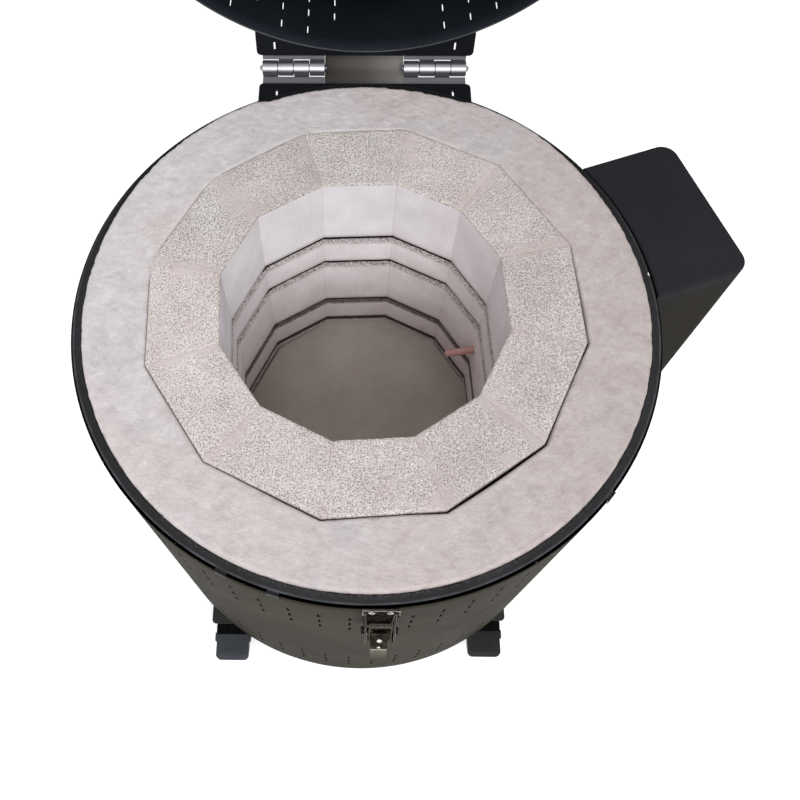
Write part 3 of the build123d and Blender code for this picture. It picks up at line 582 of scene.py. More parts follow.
def quads(nu, nv, cu=False, cv=False, flip=False):
    """Faces of a nu x nv grid of points stored row by row."""
    i = np.arange(nu if cu else nu - 1)
    j = np.arange(nv if cv else nv - 1)
    I, J = np.meshgrid(i, j, indexing="ij")
    a = I * nv + J
    b = ((I + 1) % nu) * nv + J
    c = ((I + 1) % nu) * nv + (J + 1) % nv
    d = I * nv + (J + 1) % nv
    q = np.stack([a, b, c, d], -1).reshape(-1, 4)
    return q[:, ::-1].copy() if flip else q


def lathe(profile, n=256):
    """Closed (r, z) outline turned round Z."""
    p = np.array(profile, float)
    t = np.linspace(0, 2 * math.pi, n, endpoint=False)
    V = np.zeros((n, len(p), 3))
    V[:, :, 0] = np.cos(t)[:, None] * p[None, :, 0]
    V[:, :, 1] = np.sin(t)[:, None] * p[None, :, 0]
    V[:, :, 2] = p[None, :, 1]
    return V.reshape(-1, 3), quads(n, len(p), True, True)


def round_loop(pts, r, seg=3):
    """Rounds each corner of a closed outline; r is one radius or a list."""
    out = []
    n = len(pts)
    rs = r if isinstance(r, (list, tuple)) else [r] * n
    for i in range(n):
        p0, p1, p2 = (np.array(pts[(i - 1) % n], float), np.array(pts[i], float), np.array(pts[(i + 1) % n], float))
        a, b = p0 - p1, p2 - p1
        la, lb = np.linalg.norm(a), np.linalg.norm(b)
        a, b = a / la, b / lb
        ang = math.acos(max(-1, min(1, float(a @ b))))
        if rs[i] <= 0 or abs(math.pi - ang) < 1e-3:
            out.append(tuple(p1))
            continue
        d = min(rs[i] / math.tan(ang / 2), la * 0.49, lb * 0.49)
        rr = d * math.tan(ang / 2)
        c = p1 + (a + b) / np.linalg.norm(a + b) * (rr / math.sin(ang / 2))
        s, e = p1 + a * d, p1 + b * d
        a0 = math.atan2(*(s - c)[::-1])
        a1 = math.atan2(*(e - c)[::-1])
        da = (a1 - a0 + math.pi) % (2 * math.pi) - math.pi
        for k in range(seg + 1):
            t = a0 + da * k / seg
            out.append((c[0] + rr * math.cos(t), c[1] + rr * math.sin(t)))
    return out


def area2(loop):
    return sum(loop[i][0] * loop[(i + 1) % len(loop)][1] - loop[(i + 1) % len(loop)][0] * loop[i][1] for i in range(len(loop)))


def slab(loops, t0, t1, place):
    """Plate with holes. loops[0] is the outline, the rest are holes, in (a, b); place(a, b, t) gives x, y, z."""
    loops = [list(l) for l in loops]
    for i, l in enumerate(loops):
        if (area2(l) > 0) != (i == 0):
            l.reverse()
    flat = [p for l in loops for p in l]
    n = len(flat)
    tri = tessellate_polygon([[Vector((a, b, 0)) for a, b in l] for l in loops])
    V = [place(a, b, t1) for a, b in flat] + [place(a, b, t0) for a, b in flat]
    F = []
    for t in tri:
        (x0, y0), (x1, y1), (x2, y2) = (flat[k] for k in t)
        t = list(t) if (x1 - x0) * (y2 - y0) - (x2 - x0) * (y1 - y0) > 0 else list(t)[::-1]
        F.append(t)
        F.append([k + n for k in t[::-1]])
    base = 0
    for l in loops:
        m = len(l)
        for k in range(m):
            a, b = base + k, base + (k + 1) % m
            F.append([a, a + n, b + n, b])
        base += m
    return V, F


def join(parts):
    """Joins (V, F) pairs."""
    V, F, o = [], [], 0
    for v, f in parts:
        v = [tuple(q) for q in np.array(v, float).reshape(-1, 3)]
        V += v
        F += [[int(k) + o for k in face] for face in f]
        o += len(v)
    return V, F


def fix_normals(obj):
    bm = bmesh.new()
    bm.from_mesh(obj.data)
    bmesh.ops.recalc_face_normals(bm, faces=bm.faces)
    bm.to_mesh(obj.data)
    bm.free()


def bevel(obj, width, seg=2, angle=35.0):
    b = obj.modifiers.new("edge", "BEVEL")
    b.width = width * 0.001
    b.segments = seg
    b.limit_method = "ANGLE"
    b.angle_limit = math.radians(angle)
    b.harden_normals = True
    return obj


def solidify(obj, t):
    s = obj.modifiers.new("sheet", "SOLIDIFY")
    s.thickness = t * 0.001
    s.offset = -1.0
    return obj


def refine(node, mat, width=0.4, seg=2, angle=35.0, name=None):
    """A piece with softened edges made from a CAD node's own mesh."""
    src = frame["nodes"][node]
    me = src.data.copy()
    me.materials.clear()
    if "custom_normal" in me.attributes:
        me.attributes.remove(me.attributes["custom_normal"])
    bm = bmesh.new()
    bm.from_mesh(me)
    bmesh.ops.remove_doubles(bm, verts=bm.verts, dist=2e-6)
    bmesh.ops.dissolve_limit(bm, angle_limit=math.radians(1.0), verts=bm.verts, edges=bm.edges)
    bm.to_mesh(me)
    bm.free()
    o = finish_piece(name or node + "_detail", me, mat, src["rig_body"], (node,), 35.0)
    if width:
        bevel(o, width, seg, angle)
    return o


def bright(obj, mat):
    """Puts a second material on the bevelled edges: a bright steel that paints edge highlights."""
    obj.data.materials.append(mat)
    obj.modifiers["edge"].material = 1
    return obj


def extrude_x(loop, x0, x1):
    """(y, z) outline between x0 and x1."""
    return slab([loop], x0, x1, lambda a, b, t: (t, a, b))


def tube_along(points, radius, sides=16, caps=True):
    """Round bar along a list of points."""
    P = [np.array(p, float) for p in points]
    V, F = [], []
    up = None
    for i, p in enumerate(P):
        d = P[min(i + 1, len(P) - 1)] - P[max(i - 1, 0)]
        d /= np.linalg.norm(d)
        if up is None:
            up = np.cross(d, [0.13, 0.2, 0.97])
            up /= np.linalg.norm(up)
        up = up - d * (up @ d)
        up /= np.linalg.norm(up)
        w = np.cross(d, up)
        r = radius[i] if isinstance(radius, (list, tuple)) else radius
        for k in range(sides):
            a = 2 * math.pi * k / sides
            V.append(tuple(p + r * (math.cos(a) * up + math.sin(a) * w)))
    n = len(P)
    for i in range(n - 1):
        for k in range(sides):
            F.append([i * sides + k, i * sides + (k + 1) % sides, (i + 1) * sides + (k + 1) % sides, (i + 1) * sides + k])
    if caps:
        F.append(list(range(sides))[::-1])
        F.append([(n - 1) * sides + k for k in range(sides)])
    return V, F


# ------------------------------------------------------------------ slotted sheets
def slotted(R, z0, z1, cols, rows, w, edge=None, per=4, closed=()):
    """Cylinder with rounded slots. rows are (centre, length); edge(x, y, z) may lower or raise an edge point; closed lists (angle, centre) of slots left out."""
    hw = math.degrees(2.7 / R)
    az = []
    cols = sorted(cols)
    for k, a in enumerate(cols):
        nxt = cols[(k + 1) % len(cols)] + (360 if k + 1 == len(cols) else 0)
        az.append((a - hw, k))
        az.append((a + hw, None))
        for s in range(1, per):
            az.append((a + hw + (nxt - hw - a - hw) * s / per, None))
    zs = set([z0, z1])
    for c, l in rows:
        zs.add(c - l / 2 - 1.8)
        zs.add(c + l / 2 + 1.8)
    zs = sorted(zs)
    full = []
    for a, b in zip(zs, zs[1:]):
        n = max(1, int(round((b - a) / 16.0)))
        full += [a + (b - a) * k / n for k in range(n)]
    full.append(zs[-1])
    # keep each slot's cell whole
    cells = {}
    keep = sorted(set(z for z in full if not any(c - l / 2 - 1.7 < z < c + l / 2 + 1.7 for c, l in rows)))
    for c, l in rows:
        j = min(range(len(keep)), key=lambda q: abs(keep[q] - (c - l / 2 - 1.8)))
        cells[j] = (c, l)
    V, F = [], []
    nu, nv = len(az), len(keep)
    for a, _ in az:
        t = math.radians(a)
        for z in keep:
            x, y = R * math.cos(t), R * math.sin(t)
            if edge is not None:
                z = edge(x, y, z)
            V.append((x, y, z))
    for i in range(nu):
        i2 = (i + 1) % nu
        for j in range(nv - 1):
            a, b, c, d = i * nv + j, i2 * nv + j, i2 * nv + j + 1, i * nv + j + 1
            skip = az[i][1] is not None and j in cells and any(abs(az[i][0] + hw - a_) < 0.5 and abs(cells[j][0] - z_) < 1.0 for a_, z_ in closed)
            if az[i][1] is not None and j in cells and not skip:
                zc, l = cells[j]
                t0 = math.radians(az[i][0] + hw)
                base = len(V)
                # stadium, counter-clockwise from the right
                ring = []
                for q in (-45, 0, 45, 90, 135, 180, 225, 270):
                    s = w / 2 * math.cos(math.radians(q))
                    zz = zc + (l / 2 - w / 2) * (1 if 20 < q < 160 else -1 if (q < -20 or q > 200) else 0) + w / 2 * math.sin(math.radians(q))
                    ring.append((s, zz))
                for s, zz in ring:
                    t = t0 + s / R
                    V.append((R * math.cos(t), R * math.sin(t), zz))
                r = [base + k for k in range(8)]
                # right, top, left, bottom
                F.append([b, c, r[2], r[1], r[0]])
                F.append([c, d, r[4], r[3], r[2]])
                F.append([d, a, r[6], r[5], r[4]])
                F.append([a, b, r[0], r[7], r[6]])
            else:
                F.append([a, b, c, d])
    return V, F


def casing_edge(x, y, z):
    if z > -11.0 and y > 225:
        if 39 < abs(x) < 110.5:
            return -14.5
        if abs(x) <= 41:
            return -13.2
    return z


cols = [-92.7 + 5.625 * k for k in range(64)]
cas_rows = [(-62, 13), (-88, 13), (-114, 13), (-331, 13), (-357, 13), (-383, 13)]
V, F = slotted(266.6, -440, -9.5, cols, cas_rows, 2.1, casing_edge)
cas = make("casing_sheet", V, F, M["casing"], rep=("outer_casing",), slot="casing_paint")
solidify(cas, 0.6)
cas.data.materials.append(M["shell_black"])
cas.modifiers["sheet"].material_offset_rim = 1


lid_cols = [97.0 + 6.05 * k for k in range(0, 30)] + [71.95 - 6.05 * k for k in range(0, 27)]
lid_cols = sorted(((c + 180) % 360) - 180 for c in lid_cols)
V, F = slotted(269.65, 1.2, 100.6, lid_cols, [(29.2, 13.5), (60.0, 13.5), (85.5, 13.0)], 1.45, closed=((97.0, 29.2), (115.15, 29.2)))
sk = make("lid_skirt_sheet", V, F, M["skirt"], rep=("lid_skirt",), slot="casing_paint", lid=True)
solidify(sk, 1.2)
V, F = lathe(round_loop([(269.8, 0.6), (269.8, 2.6), (268.2, 2.6), (268.2, 0.6)], 0.8, 4), 360)
hm = make("lid_skirt_hem", V, F, M["hem"], rep=("lid_skirt",), slot="casing_paint", lid=True)
fix_normals(hm)

PLUG = 200.0

# ------------------------------------------------------------------ lid top, a shallow pressed disc with a rolled edge
prof = [(0.0, 101.4), (120, 101.6), (225, 101.6), (248, 102.2), (262, 102.2), (267.5, 102.15), (269.3, 101.6), (269.8, 100.9), (269.6, 100.72), (262, 100.75), (225, 100.74), (120, 100.72), (0.0, 100.7)]
V, F = [], []
nseg = 192
for k in range(nseg):
    t = 2 * math.pi * k / nseg
    for r, z in prof[1:-1]:
        V.append((r * math.cos(t), r * math.sin(t), z))
m_ = len(prof) - 2
c0, c1_ = len(V), len(V) + 1
V += [(0, 0, prof[0][1]), (0, 0, prof[-1][1])]
for k in range(nseg):
    k2 = (k + 1) % nseg
    for j in range(m_ - 1):
        F.append([k * m_ + j, k * m_ + j + 1, k2 * m_ + j + 1, k2 * m_ + j])
    F.append([c0, k * m_, k2 * m_])
    F.append([c1_, k2 * m_ + m_ - 1, k * m_ + m_ - 1])
lt = make("lid_top_disc", V, F, M["lid_top"], rep=("lid_top_sheet",), slot="casing_paint", lid=True)
fix_normals(lt)

# ------------------------------------------------------------------ rim ring
TABS = (-115.5, -105.9, -41.5)
RP = round_loop([(256.4, -6.2), (262.4, -6.2), (262.9, -6.0), (264.2, -6.0), (264.2, -7.5), (259.2, -7.5), (259.2, -24.0), (258.0, -24.0), (258.0, -7.5), (256.4, -7.5)], [0.5, 0.3, 0.3, 0.6, 0.3, 0.2, 0.3, 0.3, 0.2, 0.3], 3)
Vr, Fr = lathe(RP, 360)
parts = [(Vr, Fr)]
for a in TABS:
    ca, sa = math.cos(math.radians(a)), math.sin(math.radians(a))
    sect = round_loop([(263.8, -7.4), (263.8, -6.05), (267.6, -6.05), (267.6, -13.0), (266.9, -13.0), (266.9, -7.4)], [0, 0.1, 1.0, 0.3, 0.3, 0.4], 3)
    v, f = slab([sect], -5.0, 5.0, lambda r, z, t, ca=ca, sa=sa: (r * ca - t * sa, r * sa + t * ca, z))
    parts.append((v, f))
V, F = join(parts)
rg = make("rim_ring_rolled", V, F, M["ring"], rep=("rim_ring",), slot="ring_steel")
fix_normals(rg)

# ------------------------------------------------------------------ brick ring
INNER = [(135.6, -102.1), (134.5, -72.7), (132.6, -43.0), (131.6, -11.9), (133.7, 20.6), (135.4, 47.6), (134.2, 76.8), (134.6, 108.2), (137.4, 138.3), (136.4, 168.2), (136.6, -161.2), (135.9, -131.5)]
OUTER = [(201.8, -100.4), (201.5, -71.3), (200.0, -41.8), (199.4, -11.5), (200.8, 17.9), (202.3, 49.6), (202.2, 78.2), (202.6, 107.6), (202.2, 137.9), (203.4, 168.4), (203.4, -161.4), (202.3, -131.7)]
TINT = [0.05, 0.0, 0.0, 0.08, 0.15, 0.12, 0.95, 0.55, 0.85, 0.0, 0.1, 0.1]   # brick k lies between corners k and k + 1


TONE = [0.93, 0.877, 0.91, 0.946, 0.99, 1.03, 1.0, 0.886, 0.916, 0.99, 0.95, 0.94]   # each brick's own shade


def pol(p):
    return np.array([p[0] * math.cos(math.radians(p[1])), p[0] * math.sin(math.radians(p[1]))])


GROOVE = (94.0, 141.5, 226.5, 273.0)


def brick(k, nu=46):
    A0, A1, B0, B1 = pol(INNER[k]), pol(INNER[(k + 1) % 12]), pol(OUTER[k]), pol(OUTER[(k + 1) % 12])
    # section: (radial distance, z, kind); kind 0 wall, 1 top, 2 lip
    sec = [("f", 0.0, -2.2, 1), ("f", 0.5, -0.6, 1), ("f", 2.0, 0.0, 1)]
    nt_ = 42
    for i in range(1, nt_):
        sec.append(("t", i / nt_, 0.0, 1))
    sec += [("b", 2.0, 0.0, 1), ("b", 0.5, -0.5, 1), ("b", 0.0, -2.0, 1)]
    for z in (-12, -40, -100, -180, -260, -345):
        sec.append(("b", 0.0, z, 0))
    sec += [("t", 0.5, -345, 0), ("f", 0.0, -345, 0), ("f", 0.0, -310, 0)]
    zs = -286.0
    sec.append(("f", 0.0, zs, 0))
    for g in sorted(GROOVE, reverse=True):
        zt, zb = -(g - 2.0), -(g + 6.5)
        low = zb - 2.6 if g < 260 else zb - 0.8
        n = max(1, int((low - 4.0 - zs) / 5.0))
        for i in range(1, n + 1):
            sec.append(("f", 0.0, zs + (low - 4.0 - zs) * i / n, 0))
        if g < 260:
            sec.append(("f", 0.0, low - 2.0, 1.35))
            sec.append(("f", 0.0, low, 1.75 if g < 200 else 2.3))
        else:
            sec.append(("f", 0.0, low, 1.5))
        if g < 260:
            for i in range(1, 5):
                sec.append(("f", 3.4 * i / 4, low + 2.6 * i / 4, 2 if g < 200 else 2.7))
        else:
            sec.append(("f", 1.2, zb, 2.7))
        sec += [("f", 4.4, zb - 0.5, 3), ("f", 14.0, zb - 0.5, 3), ("f", 14.0, zt, 3), ("f", 6.0, zt, 3), ("f", 0.9, zt + 0.1, 3), ("f", 0.0, zt + 0.9, 0)]
        zs = zt + 0.9
    n = max(1, int((-2.6 - zs) / 5.0))
    for i in range(1, n + 1):
        sec.append(("f", 0.0, zs + (-2.6 - zs) * i / n, 0))
    ns = len(sec)
    P = np.zeros((nu, ns, 3))
    top = np.zeros((nu, ns))
    lip = np.zeros((nu, ns))
    out_dir = np.zeros((nu, ns, 3))
    edge = 0.07
    for i in range(nu):
        u = i / (nu - 1)
        A, B = A0 + (A1 - A0) * u, B0 + (B1 - B0) * u
        tang = (A1 - A0) / np.linalg.norm(A1 - A0)
        shift = tang * (edge if i == 0 else -edge if i == nu - 1 else 0.0)
        A, B = A + shift, B + shift
        d = B - A
        L = np.linalg.norm(d)
        d /= L
        for j, (w, s, z, kind) in enumerate(sec):
            q = s if w == "f" else L - s if w == "b" else 2.0 + (L - 4.0) * s
            p = A + d * q
            P[i, j] = (p[0], p[1], z)
            top[i, j] = 1.0 if kind == 1 else 0.0
            lip[i, j] = kind - 1.0 if kind > 1 else 0.0
            if kind == 1:
                out_dir[i, j] = (0, 0, 1)
            elif w == "f":
                out_dir[i, j] = (-d[0], -d[1], 0)
            elif w == "b":
                out_dir[i, j] = (d[0] * 0.3, d[1] * 0.3, 0)
    flat = P.reshape(-1, 3)
    brk = ((lip >= 1.0) & (lip < 1.9)).ravel() * 1.0
    amp = np.where(top > 0, 0.42, 0.16).ravel() + brk * 0.5
    nz = PN.fbm(flat * 0.11 + k * 13.0, 3) * 0.5 + PN2.fbm(flat * 0.45 + k * 5.0, 2) * 0.5
    rough = PN2.fbm(flat * 0.33 + 31.0 * k, 3)
    disp = amp * nz + brk * rough * 0.6
    # top edges are chipped a little
    flat = flat + out_dir.reshape(-1, 3) * disp[:, None]
    e = np.zeros((nu, ns))
    e[0, :] = e[-1, :] = 1
    e[1, :] = e[-2, :] = 0.25
    chip = np.abs(PN.fbm(P.reshape(-1, 3) * 0.2 + 71.0, 2)) * 0.8
    flat[:, 2] -= (e * top).ravel() * (0.12 + chip * 0.5)
    flat[:, 2] = np.minimum(flat[:, 2], 0.35)
    F = quads(nu, ns, False, True)
    faces = [list(map(int, f)) for f in F]
    faces.append([j for j in range(ns)])
    faces.append([(nu - 1) * ns + j for j in range(ns)][::-1])
    # rubbed smooth beside the joints and in a few patches
    base = P.reshape(-1, 3)
    uu = np.repeat(np.linspace(0, 1, nu), ns) * np.linalg.norm(A1 - A0)
    side = PN2.fbm(base * 0.05 + 11.0, 2)
    reach = 5.0 + 9.0 * np.clip(side + 0.1, 0, 1)
    dist = np.minimum(uu + (4.0 if k in (0, 3, 6, 9) else 0.0), uu.max() - uu + (0.0 if k in (1, 4, 7, 8) else 5.0))
    worn = np.clip(1.2 - dist / reach, 0, 1)
    for x, y, rad_ in ((-118.6, 110.2, 20), (39.9, 184.3, 14), (60.9, -182.7, 17), (-170.0, 30.0, 13), (118.0, -148.0, 12), (48.0, 160.0, 9)):
        d_ = np.hypot(base[:, 0] - x, base[:, 1] - y)
        worn = np.maximum(worn, np.clip(1.5 * (1 - d_ / rad_) + 0.8 * side, 0, 1))
    return flat, faces, top.ravel(), lip.ravel(), np.full(nu * ns, TINT[k]), worn * top.ravel()


Vb, Fb, top_a, lip_a, tint_a, worn_a, o_ = [], [], [], [], [], [], 0
for k in range(12):
    v, f, a, b, c, w = brick(k)
    Vb.append(v)
    Fb += [[q + o_ for q in face] for face in f]
    top_a.append(a)
    lip_a.append(b)
    tint_a.append(c)
    worn_a.append(w)
    o_ += len(v)
bricks = make("fire_bricks", np.concatenate(Vb), Fb, M["brick"], rep=("wall_bricks",), slot="fire_brick", smooth=50)
fix_normals(bricks)
tone_a = [np.full(len(t), TONE[k]) for k, t in enumerate(top_a)]
for nm, data in (("top", top_a), ("lip", lip_a), ("tint", tint_a), ("worn", worn_a), ("tone", tone_a)):
    at = bricks.data.attributes.new(nm, "FLOAT", "POINT")
    at.data.foreach_set("value", np.concatenate(data).astype(np.float32))

# ------------------------------------------------------------------ fibre blanket
outer_xy = [pol(p) for p in OUTER]


def outer_radius(theta):
    """Radius of the brick ring's outline in a direction."""
    d = np.array([math.cos(theta), math.sin(theta)])
    best = 0.0
    for k in range(12):
        a, b = outer_xy[k], outer_xy[(k + 1) % 12]
        e = b - a
        den = d[0] * e[1] - d[1] * e[0]
        if abs(den) < 1e-9:
            continue
        t = (a[0] * e[1] - a[1] * e[0]) / den
        s = (a[0] * d[1] - a[1] * d[0]) / den
        if t > 0 and -1e-6 <= s <= 1 + 1e-6:
            best = max(best, t)
    return best


def fibre():
    nt_, nr = 720, 46
    lift = []
    th = np.linspace(0, 2 * math.pi, nt_, endpoint=False)
    rows = []
    for t in th:
        # the crack beside the bricks is wide at the front right and closes elsewhere
        az = math.degrees(t)
        wide = math.exp(-((((az + 57 + 180) % 360) - 180) / 19.0) ** 2) + 0.6 * math.exp(-((((az + 4 + 180) % 360) - 180) / 14.0) ** 2) + 0.35 * math.exp(-((((az + 105 + 180) % 360) - 180) / 16.0) ** 2)
        gap = 0.45 + 2.0 * wide
        r0 = outer_radius(t) + gap
        over = math.exp(-((((az - 135 + 180) % 360) - 180) / 45.0) ** 4)
        r0 = r0 * (1 - over) + min(r0, 198.6 + 1.2 * math.sin(3 * t)) * over
        lift.append(0.5 * over)
        # at the back the blanket bulges over the rim ring
        aa = az if az < 270 else az - 360
        w_ = min(max((aa - 22.0) / 30.0, 0.0), 1.0) * min(max((172.0 - aa) / 40.0, 0.0), 1.0)
        w_ *= min(max(abs(aa - 90.0) - 22.0, 0.0) / 3.5, 1.0)
        w_ = w_ * w_ * (3 - 2 * w_)
        r1 = 255.9 + (2.6 + 0.9 * math.exp(-((aa - 121) / 8.0) ** 2) + 0.9 * math.exp(-((aa - 52) / 11.0) ** 2)) * w_
        row = []
        for f_ in (0.0, 0.012, 0.03):
            row.append((r0 + (r1 - r0) * f_, -(2.0 + 4.5 * min(wide, 1.0)) * (1 - f_ / 0.03) ** 2 - 0.3))
        for i in range(1, nr):
            row.append((r0 + (r1 - r0) * (0.03 + 0.94 * i / nr), 0.0))
        for q in ((0.985, -1.0 + 0.8 * w_), (0.996, -2.6 + 1.9 * w_), (1.0, -5.2 + 3.4 * w_), (1.0, -6.2 + 1.7 * w_)):
            row.append((r0 + (r1 - r0) * q[0], q[1]))
        r1 = 255.9
        row.append((r1, -6.8 + 1.9 * w_))
        for z in (-20, -60, -140, -240, -345):
            row.append((r1, z))
        for z in (-345, -240, -140, -60, -20, -10):
            row.append((r0, z))
        rows.append(row)
    A = np.array(rows)
    ns = A.shape[1]
    P = np.zeros((nt_, ns, 3))
    P[:, :, 0] = A[:, :, 0] * np.cos(th)[:, None]
    P[:, :, 1] = A[:, :, 0] * np.sin(th)[:, None]
    P[:, :, 2] = A[:, :, 1]
    flat = P.reshape(-1, 3)
    top = (flat[:, 2] > -6.3) & ~((np.abs(flat[:, 2] + 4.7) < 0.35) & (np.hypot(flat[:, 0], flat[:, 1]) > 255.0))
    lump = PN.fbm(flat * 0.04, 2) * 0.7 + PN2.fbm(flat * 0.14, 3) * 0.5
    fuzz = PN.fbm(flat * 0.45 + 9.0, 2) * 0.3
    up_ = np.repeat(np.array(lift), ns)
    flat[:, 2] += np.where(top, -0.9 + lump + fuzz + up_ * np.clip(1.6 - (np.hypot(flat[:, 0], flat[:, 1]) - 196.0) / 12.0, 0, 1), 0)
    rad = np.hypot(flat[:, 0], flat[:, 1])
    edge = np.where(top & (rad > 252.0), 1.0, 0.0)
    wob = PN2.fbm(flat * 0.12 + 40.0, 3) * 0.6 * edge
    s = np.minimum(rad + wob - np.abs(wob) * 0.5, np.maximum(256.0, rad)) / rad
    flat[:, 0] *= s
    flat[:, 1] *= s
    return flat, quads(nt_, ns, True, True)


V, F = fibre()
fb = make("fibre_blanket", V, F, M["fibre"], rep=("fibre_wrap",), slot="ceramic_fibre", smooth=80)
fix_normals(fb)

# ------------------------------------------------------------------ heating elements, coiled wire
def coil(z, R=140.0, r=2.75, wire=0.65, turns=215):
    n = turns * 10
    t = np.linspace(0, 2 * math.pi, n, endpoint=False)
    ph = t * turns
    c = np.stack([(R + r * np.cos(ph)) * np.cos(t), (R + r * np.cos(ph)) * np.sin(t), z + r * np.sin(ph)], -1)
    d = np.roll(c, -1, 0) - np.roll(c, 1, 0)
    d /= np.linalg.norm(d, axis=1)[:, None]
    u = np.stack([np.cos(ph) * np.cos(t), np.cos(ph) * np.sin(t), np.sin(ph)], -1)
    w = np.cross(d, u)
    V = np.zeros((n, 6, 3))
    for k in range(6):
        a = 2 * math.pi * k / 6
        V[:, k] = c + wire * (math.cos(a) * u + math.sin(a) * w)
    return V.reshape(-1, 3), quads(n, 6, True, True)


cv, cf, o_ = [], [], 0
for g in GROOVE:
    v, f = coil(-(g + 2.2))
    cv.append(v)
    cf.append(f + o_)
    o_ += len(v)
el = make("element_coils", np.concatenate(cv), np.concatenate(cf), M["wire"], rep=("heating_elements",), slot="element_wire", smooth=180)

# ------------------------------------------------------------------ thermocouple sheath
TIP, ROOT = np.array([92.5, 38.6, -190.2]), np.array([127.9, 45.2, -190.2])
ax = (ROOT - TIP) / np.linalg.norm(ROOT - TIP)
pts, rad = [], []
for s, r in ((0.0, 0.6), (0.25, 1.9), (0.9, 3.1), (2.0, 3.75), (3.6, 4.0), (20, 4.0), (60, 4.0), (120, 4.0), (194.0, 4.0)):
    pts.append(TIP + ax * s)
    rad.append(r)
V, F = tube_along(pts, rad, 28)
sh = make("sheath_tube", V, F, M["sheath"], rep=("thermocouple_sheath",), slot="sheath_ceramic", smooth=60)

# ------------------------------------------------------------------ hinges
KW = 16.5


def curl(sign):
    """Outline of a rolled knuckle with its strip, about the hinge axis; sign -1 lower leaf, +1 upper leaf."""
    R_, r_ = 8.0, 4.06
    pts = [(-6.6, -8.0), (0.0, -8.0)]
    n = 40
    for k in range(1, n + 1):
        a = math.radians(270 + 312 * k / n)
        pts.append((R_ * math.cos(a), R_ * math.sin(a)))
    for k in range(n + 1):
        a = math.radians(582 - 352 * k / n)
        pts.append((r_ * math.cos(a), r_ * math.sin(a)))
    pts.append((-5.2, -6.0))
    pts.append((-6.6, -6.0))
    return [(HY + y, HZ + (z if sign < 0 else -z)) for y, z in pts]


def leaf_parts(x0, which):
    out = []
    x1 = x0 + 4 * KW
    if which < 0:
        prof = [(258.6, -12.6), (267.4, -12.6), (268.6, -13.5), (HY - 6.4, -13.5), (HY - 6.4, -11.5), (269.0, -11.5), (267.8, -10.7), (258.6, -10.7)]
        ks = (0, 2)
        out.append(extrude_x(prof, x0 + 0.3, x1 - 0.3))
    else:
        prof = [(274.2, 5.0), (274.2, 0.5), (HY - 6.4, 0.5), (HY - 6.4, 2.5), (276.2, 2.6), (275.6, 3.4), (275.2, 4.6), (274.6, 5.6)]
        ks = (1, 3)
        out.append(extrude_x(prof, x0 + 0.3, x1 - 0.3))
        xs = [x0 + 0.3 + (4 * KW - 0.6) * k / 12 for k in range(13)]
        lap = [(x1 - 0.3, 274.8), (x0 + 0.3, 274.8)] + [(x, max(math.sqrt(270.3 ** 2 - x * x), 269.0)) for x in xs]
        out.append(slab([lap], 3.5, 5.6, lambda a, b, t: (a, b, t)))
    for i in ks:
        out.append(extrude_x(curl(which), x0 + i * KW + 0.4, x0 + (i + 1) * KW - 0.4))
    return out


lo = make("hinge_leaves_body", *join(leaf_parts(-108.05, -1) + leaf_parts(40.75, -1)), M["stainless"], rep=("hinge_lower_leaves",), slot="stainless", smooth=30)
fix_normals(lo)
bevel(lo, 0.3, 2, 40).modifiers["edge"].material = 3
up = make("hinge_leaves_lid", *join(leaf_parts(-108.05, 1) + leaf_parts(40.75, 1)), M["stainless"], rep=("hinge_upper_leaves",), slot="stainless", smooth=30, lid=True)
fix_normals(up)
for o_ in (lo, up):
    o_.data.materials.append(M["leaf_end"])
    o_.data.materials.append(M["leaf_flat"])
    o_.data.materials.append(M["leaf_edge"])
    # painted shade: strip faces away from the barrel take the darker flat copy, end faces the darkest copy, and the
    # bevels the darker edge copy
    for pg_ in o_.data.polygons:
        if math.hypot(pg_.center.y * 1000.0 - HY, pg_.center.z * 1000.0 - T - HZ) > 8.7:
            pg_.material_index = 2
        elif abs(pg_.normal.x) > 0.9:
            pg_.material_index = 1
bevel(up, 0.3, 2, 40).modifiers["edge"].material = 3

parts = []
for x0, x1 in ((-108.05, -42.05), (40.75, 106.75)):
    head = ((-3.0, 0.4), (-2.8, 1.3), (-2.2, 2.2), (-1.3, 2.9), (-0.5, 3.2), (0.1, 3.6), (0.35, 4.0))
    pts = [(x0 + s, HY, HZ) for s, r in head] + [(x1 - s, HY, HZ) for s, r in reversed(head)]
    rad = [r for s, r in head] + [r for s, r in reversed(head)]
    parts.append(tube_along(pts, rad, 28))
make("hinge_pins_domed", *join(parts), M["stainless"], rep=("hinge_pins",), slot="stainless", smooth=50)

# ------------------------------------------------------------------ brackets and stop
def slot_loop(x, y0, y1, w=2.0):
    return round_loop([(x - w / 2, y0), (x + w / 2, y0), (x + w / 2, y1), (x - w / 2, y1)], w / 2 - 0.05, 4)


def bracket(back, R, z0, z1, slots, xa=110.8):
    pts = [(xa, back), (-xa, back), (-xa, math.sqrt(R * R - xa * xa))]
    rad = [5.0, 5.0, 1.0]
    n = 28
    for k in range(1, n):
        x = -xa + 2 * xa * k / n
        pts.append((x, math.sqrt(R * R - x * x)))
        rad.append(0)
    pts.append((xa, math.sqrt(R * R - xa * xa)))
    rad.append(1.0)
    outline = round_loop(pts, rad, 5)
    return slab([outline] + slots, z0, z1, lambda a, b, t: (a, b, t))


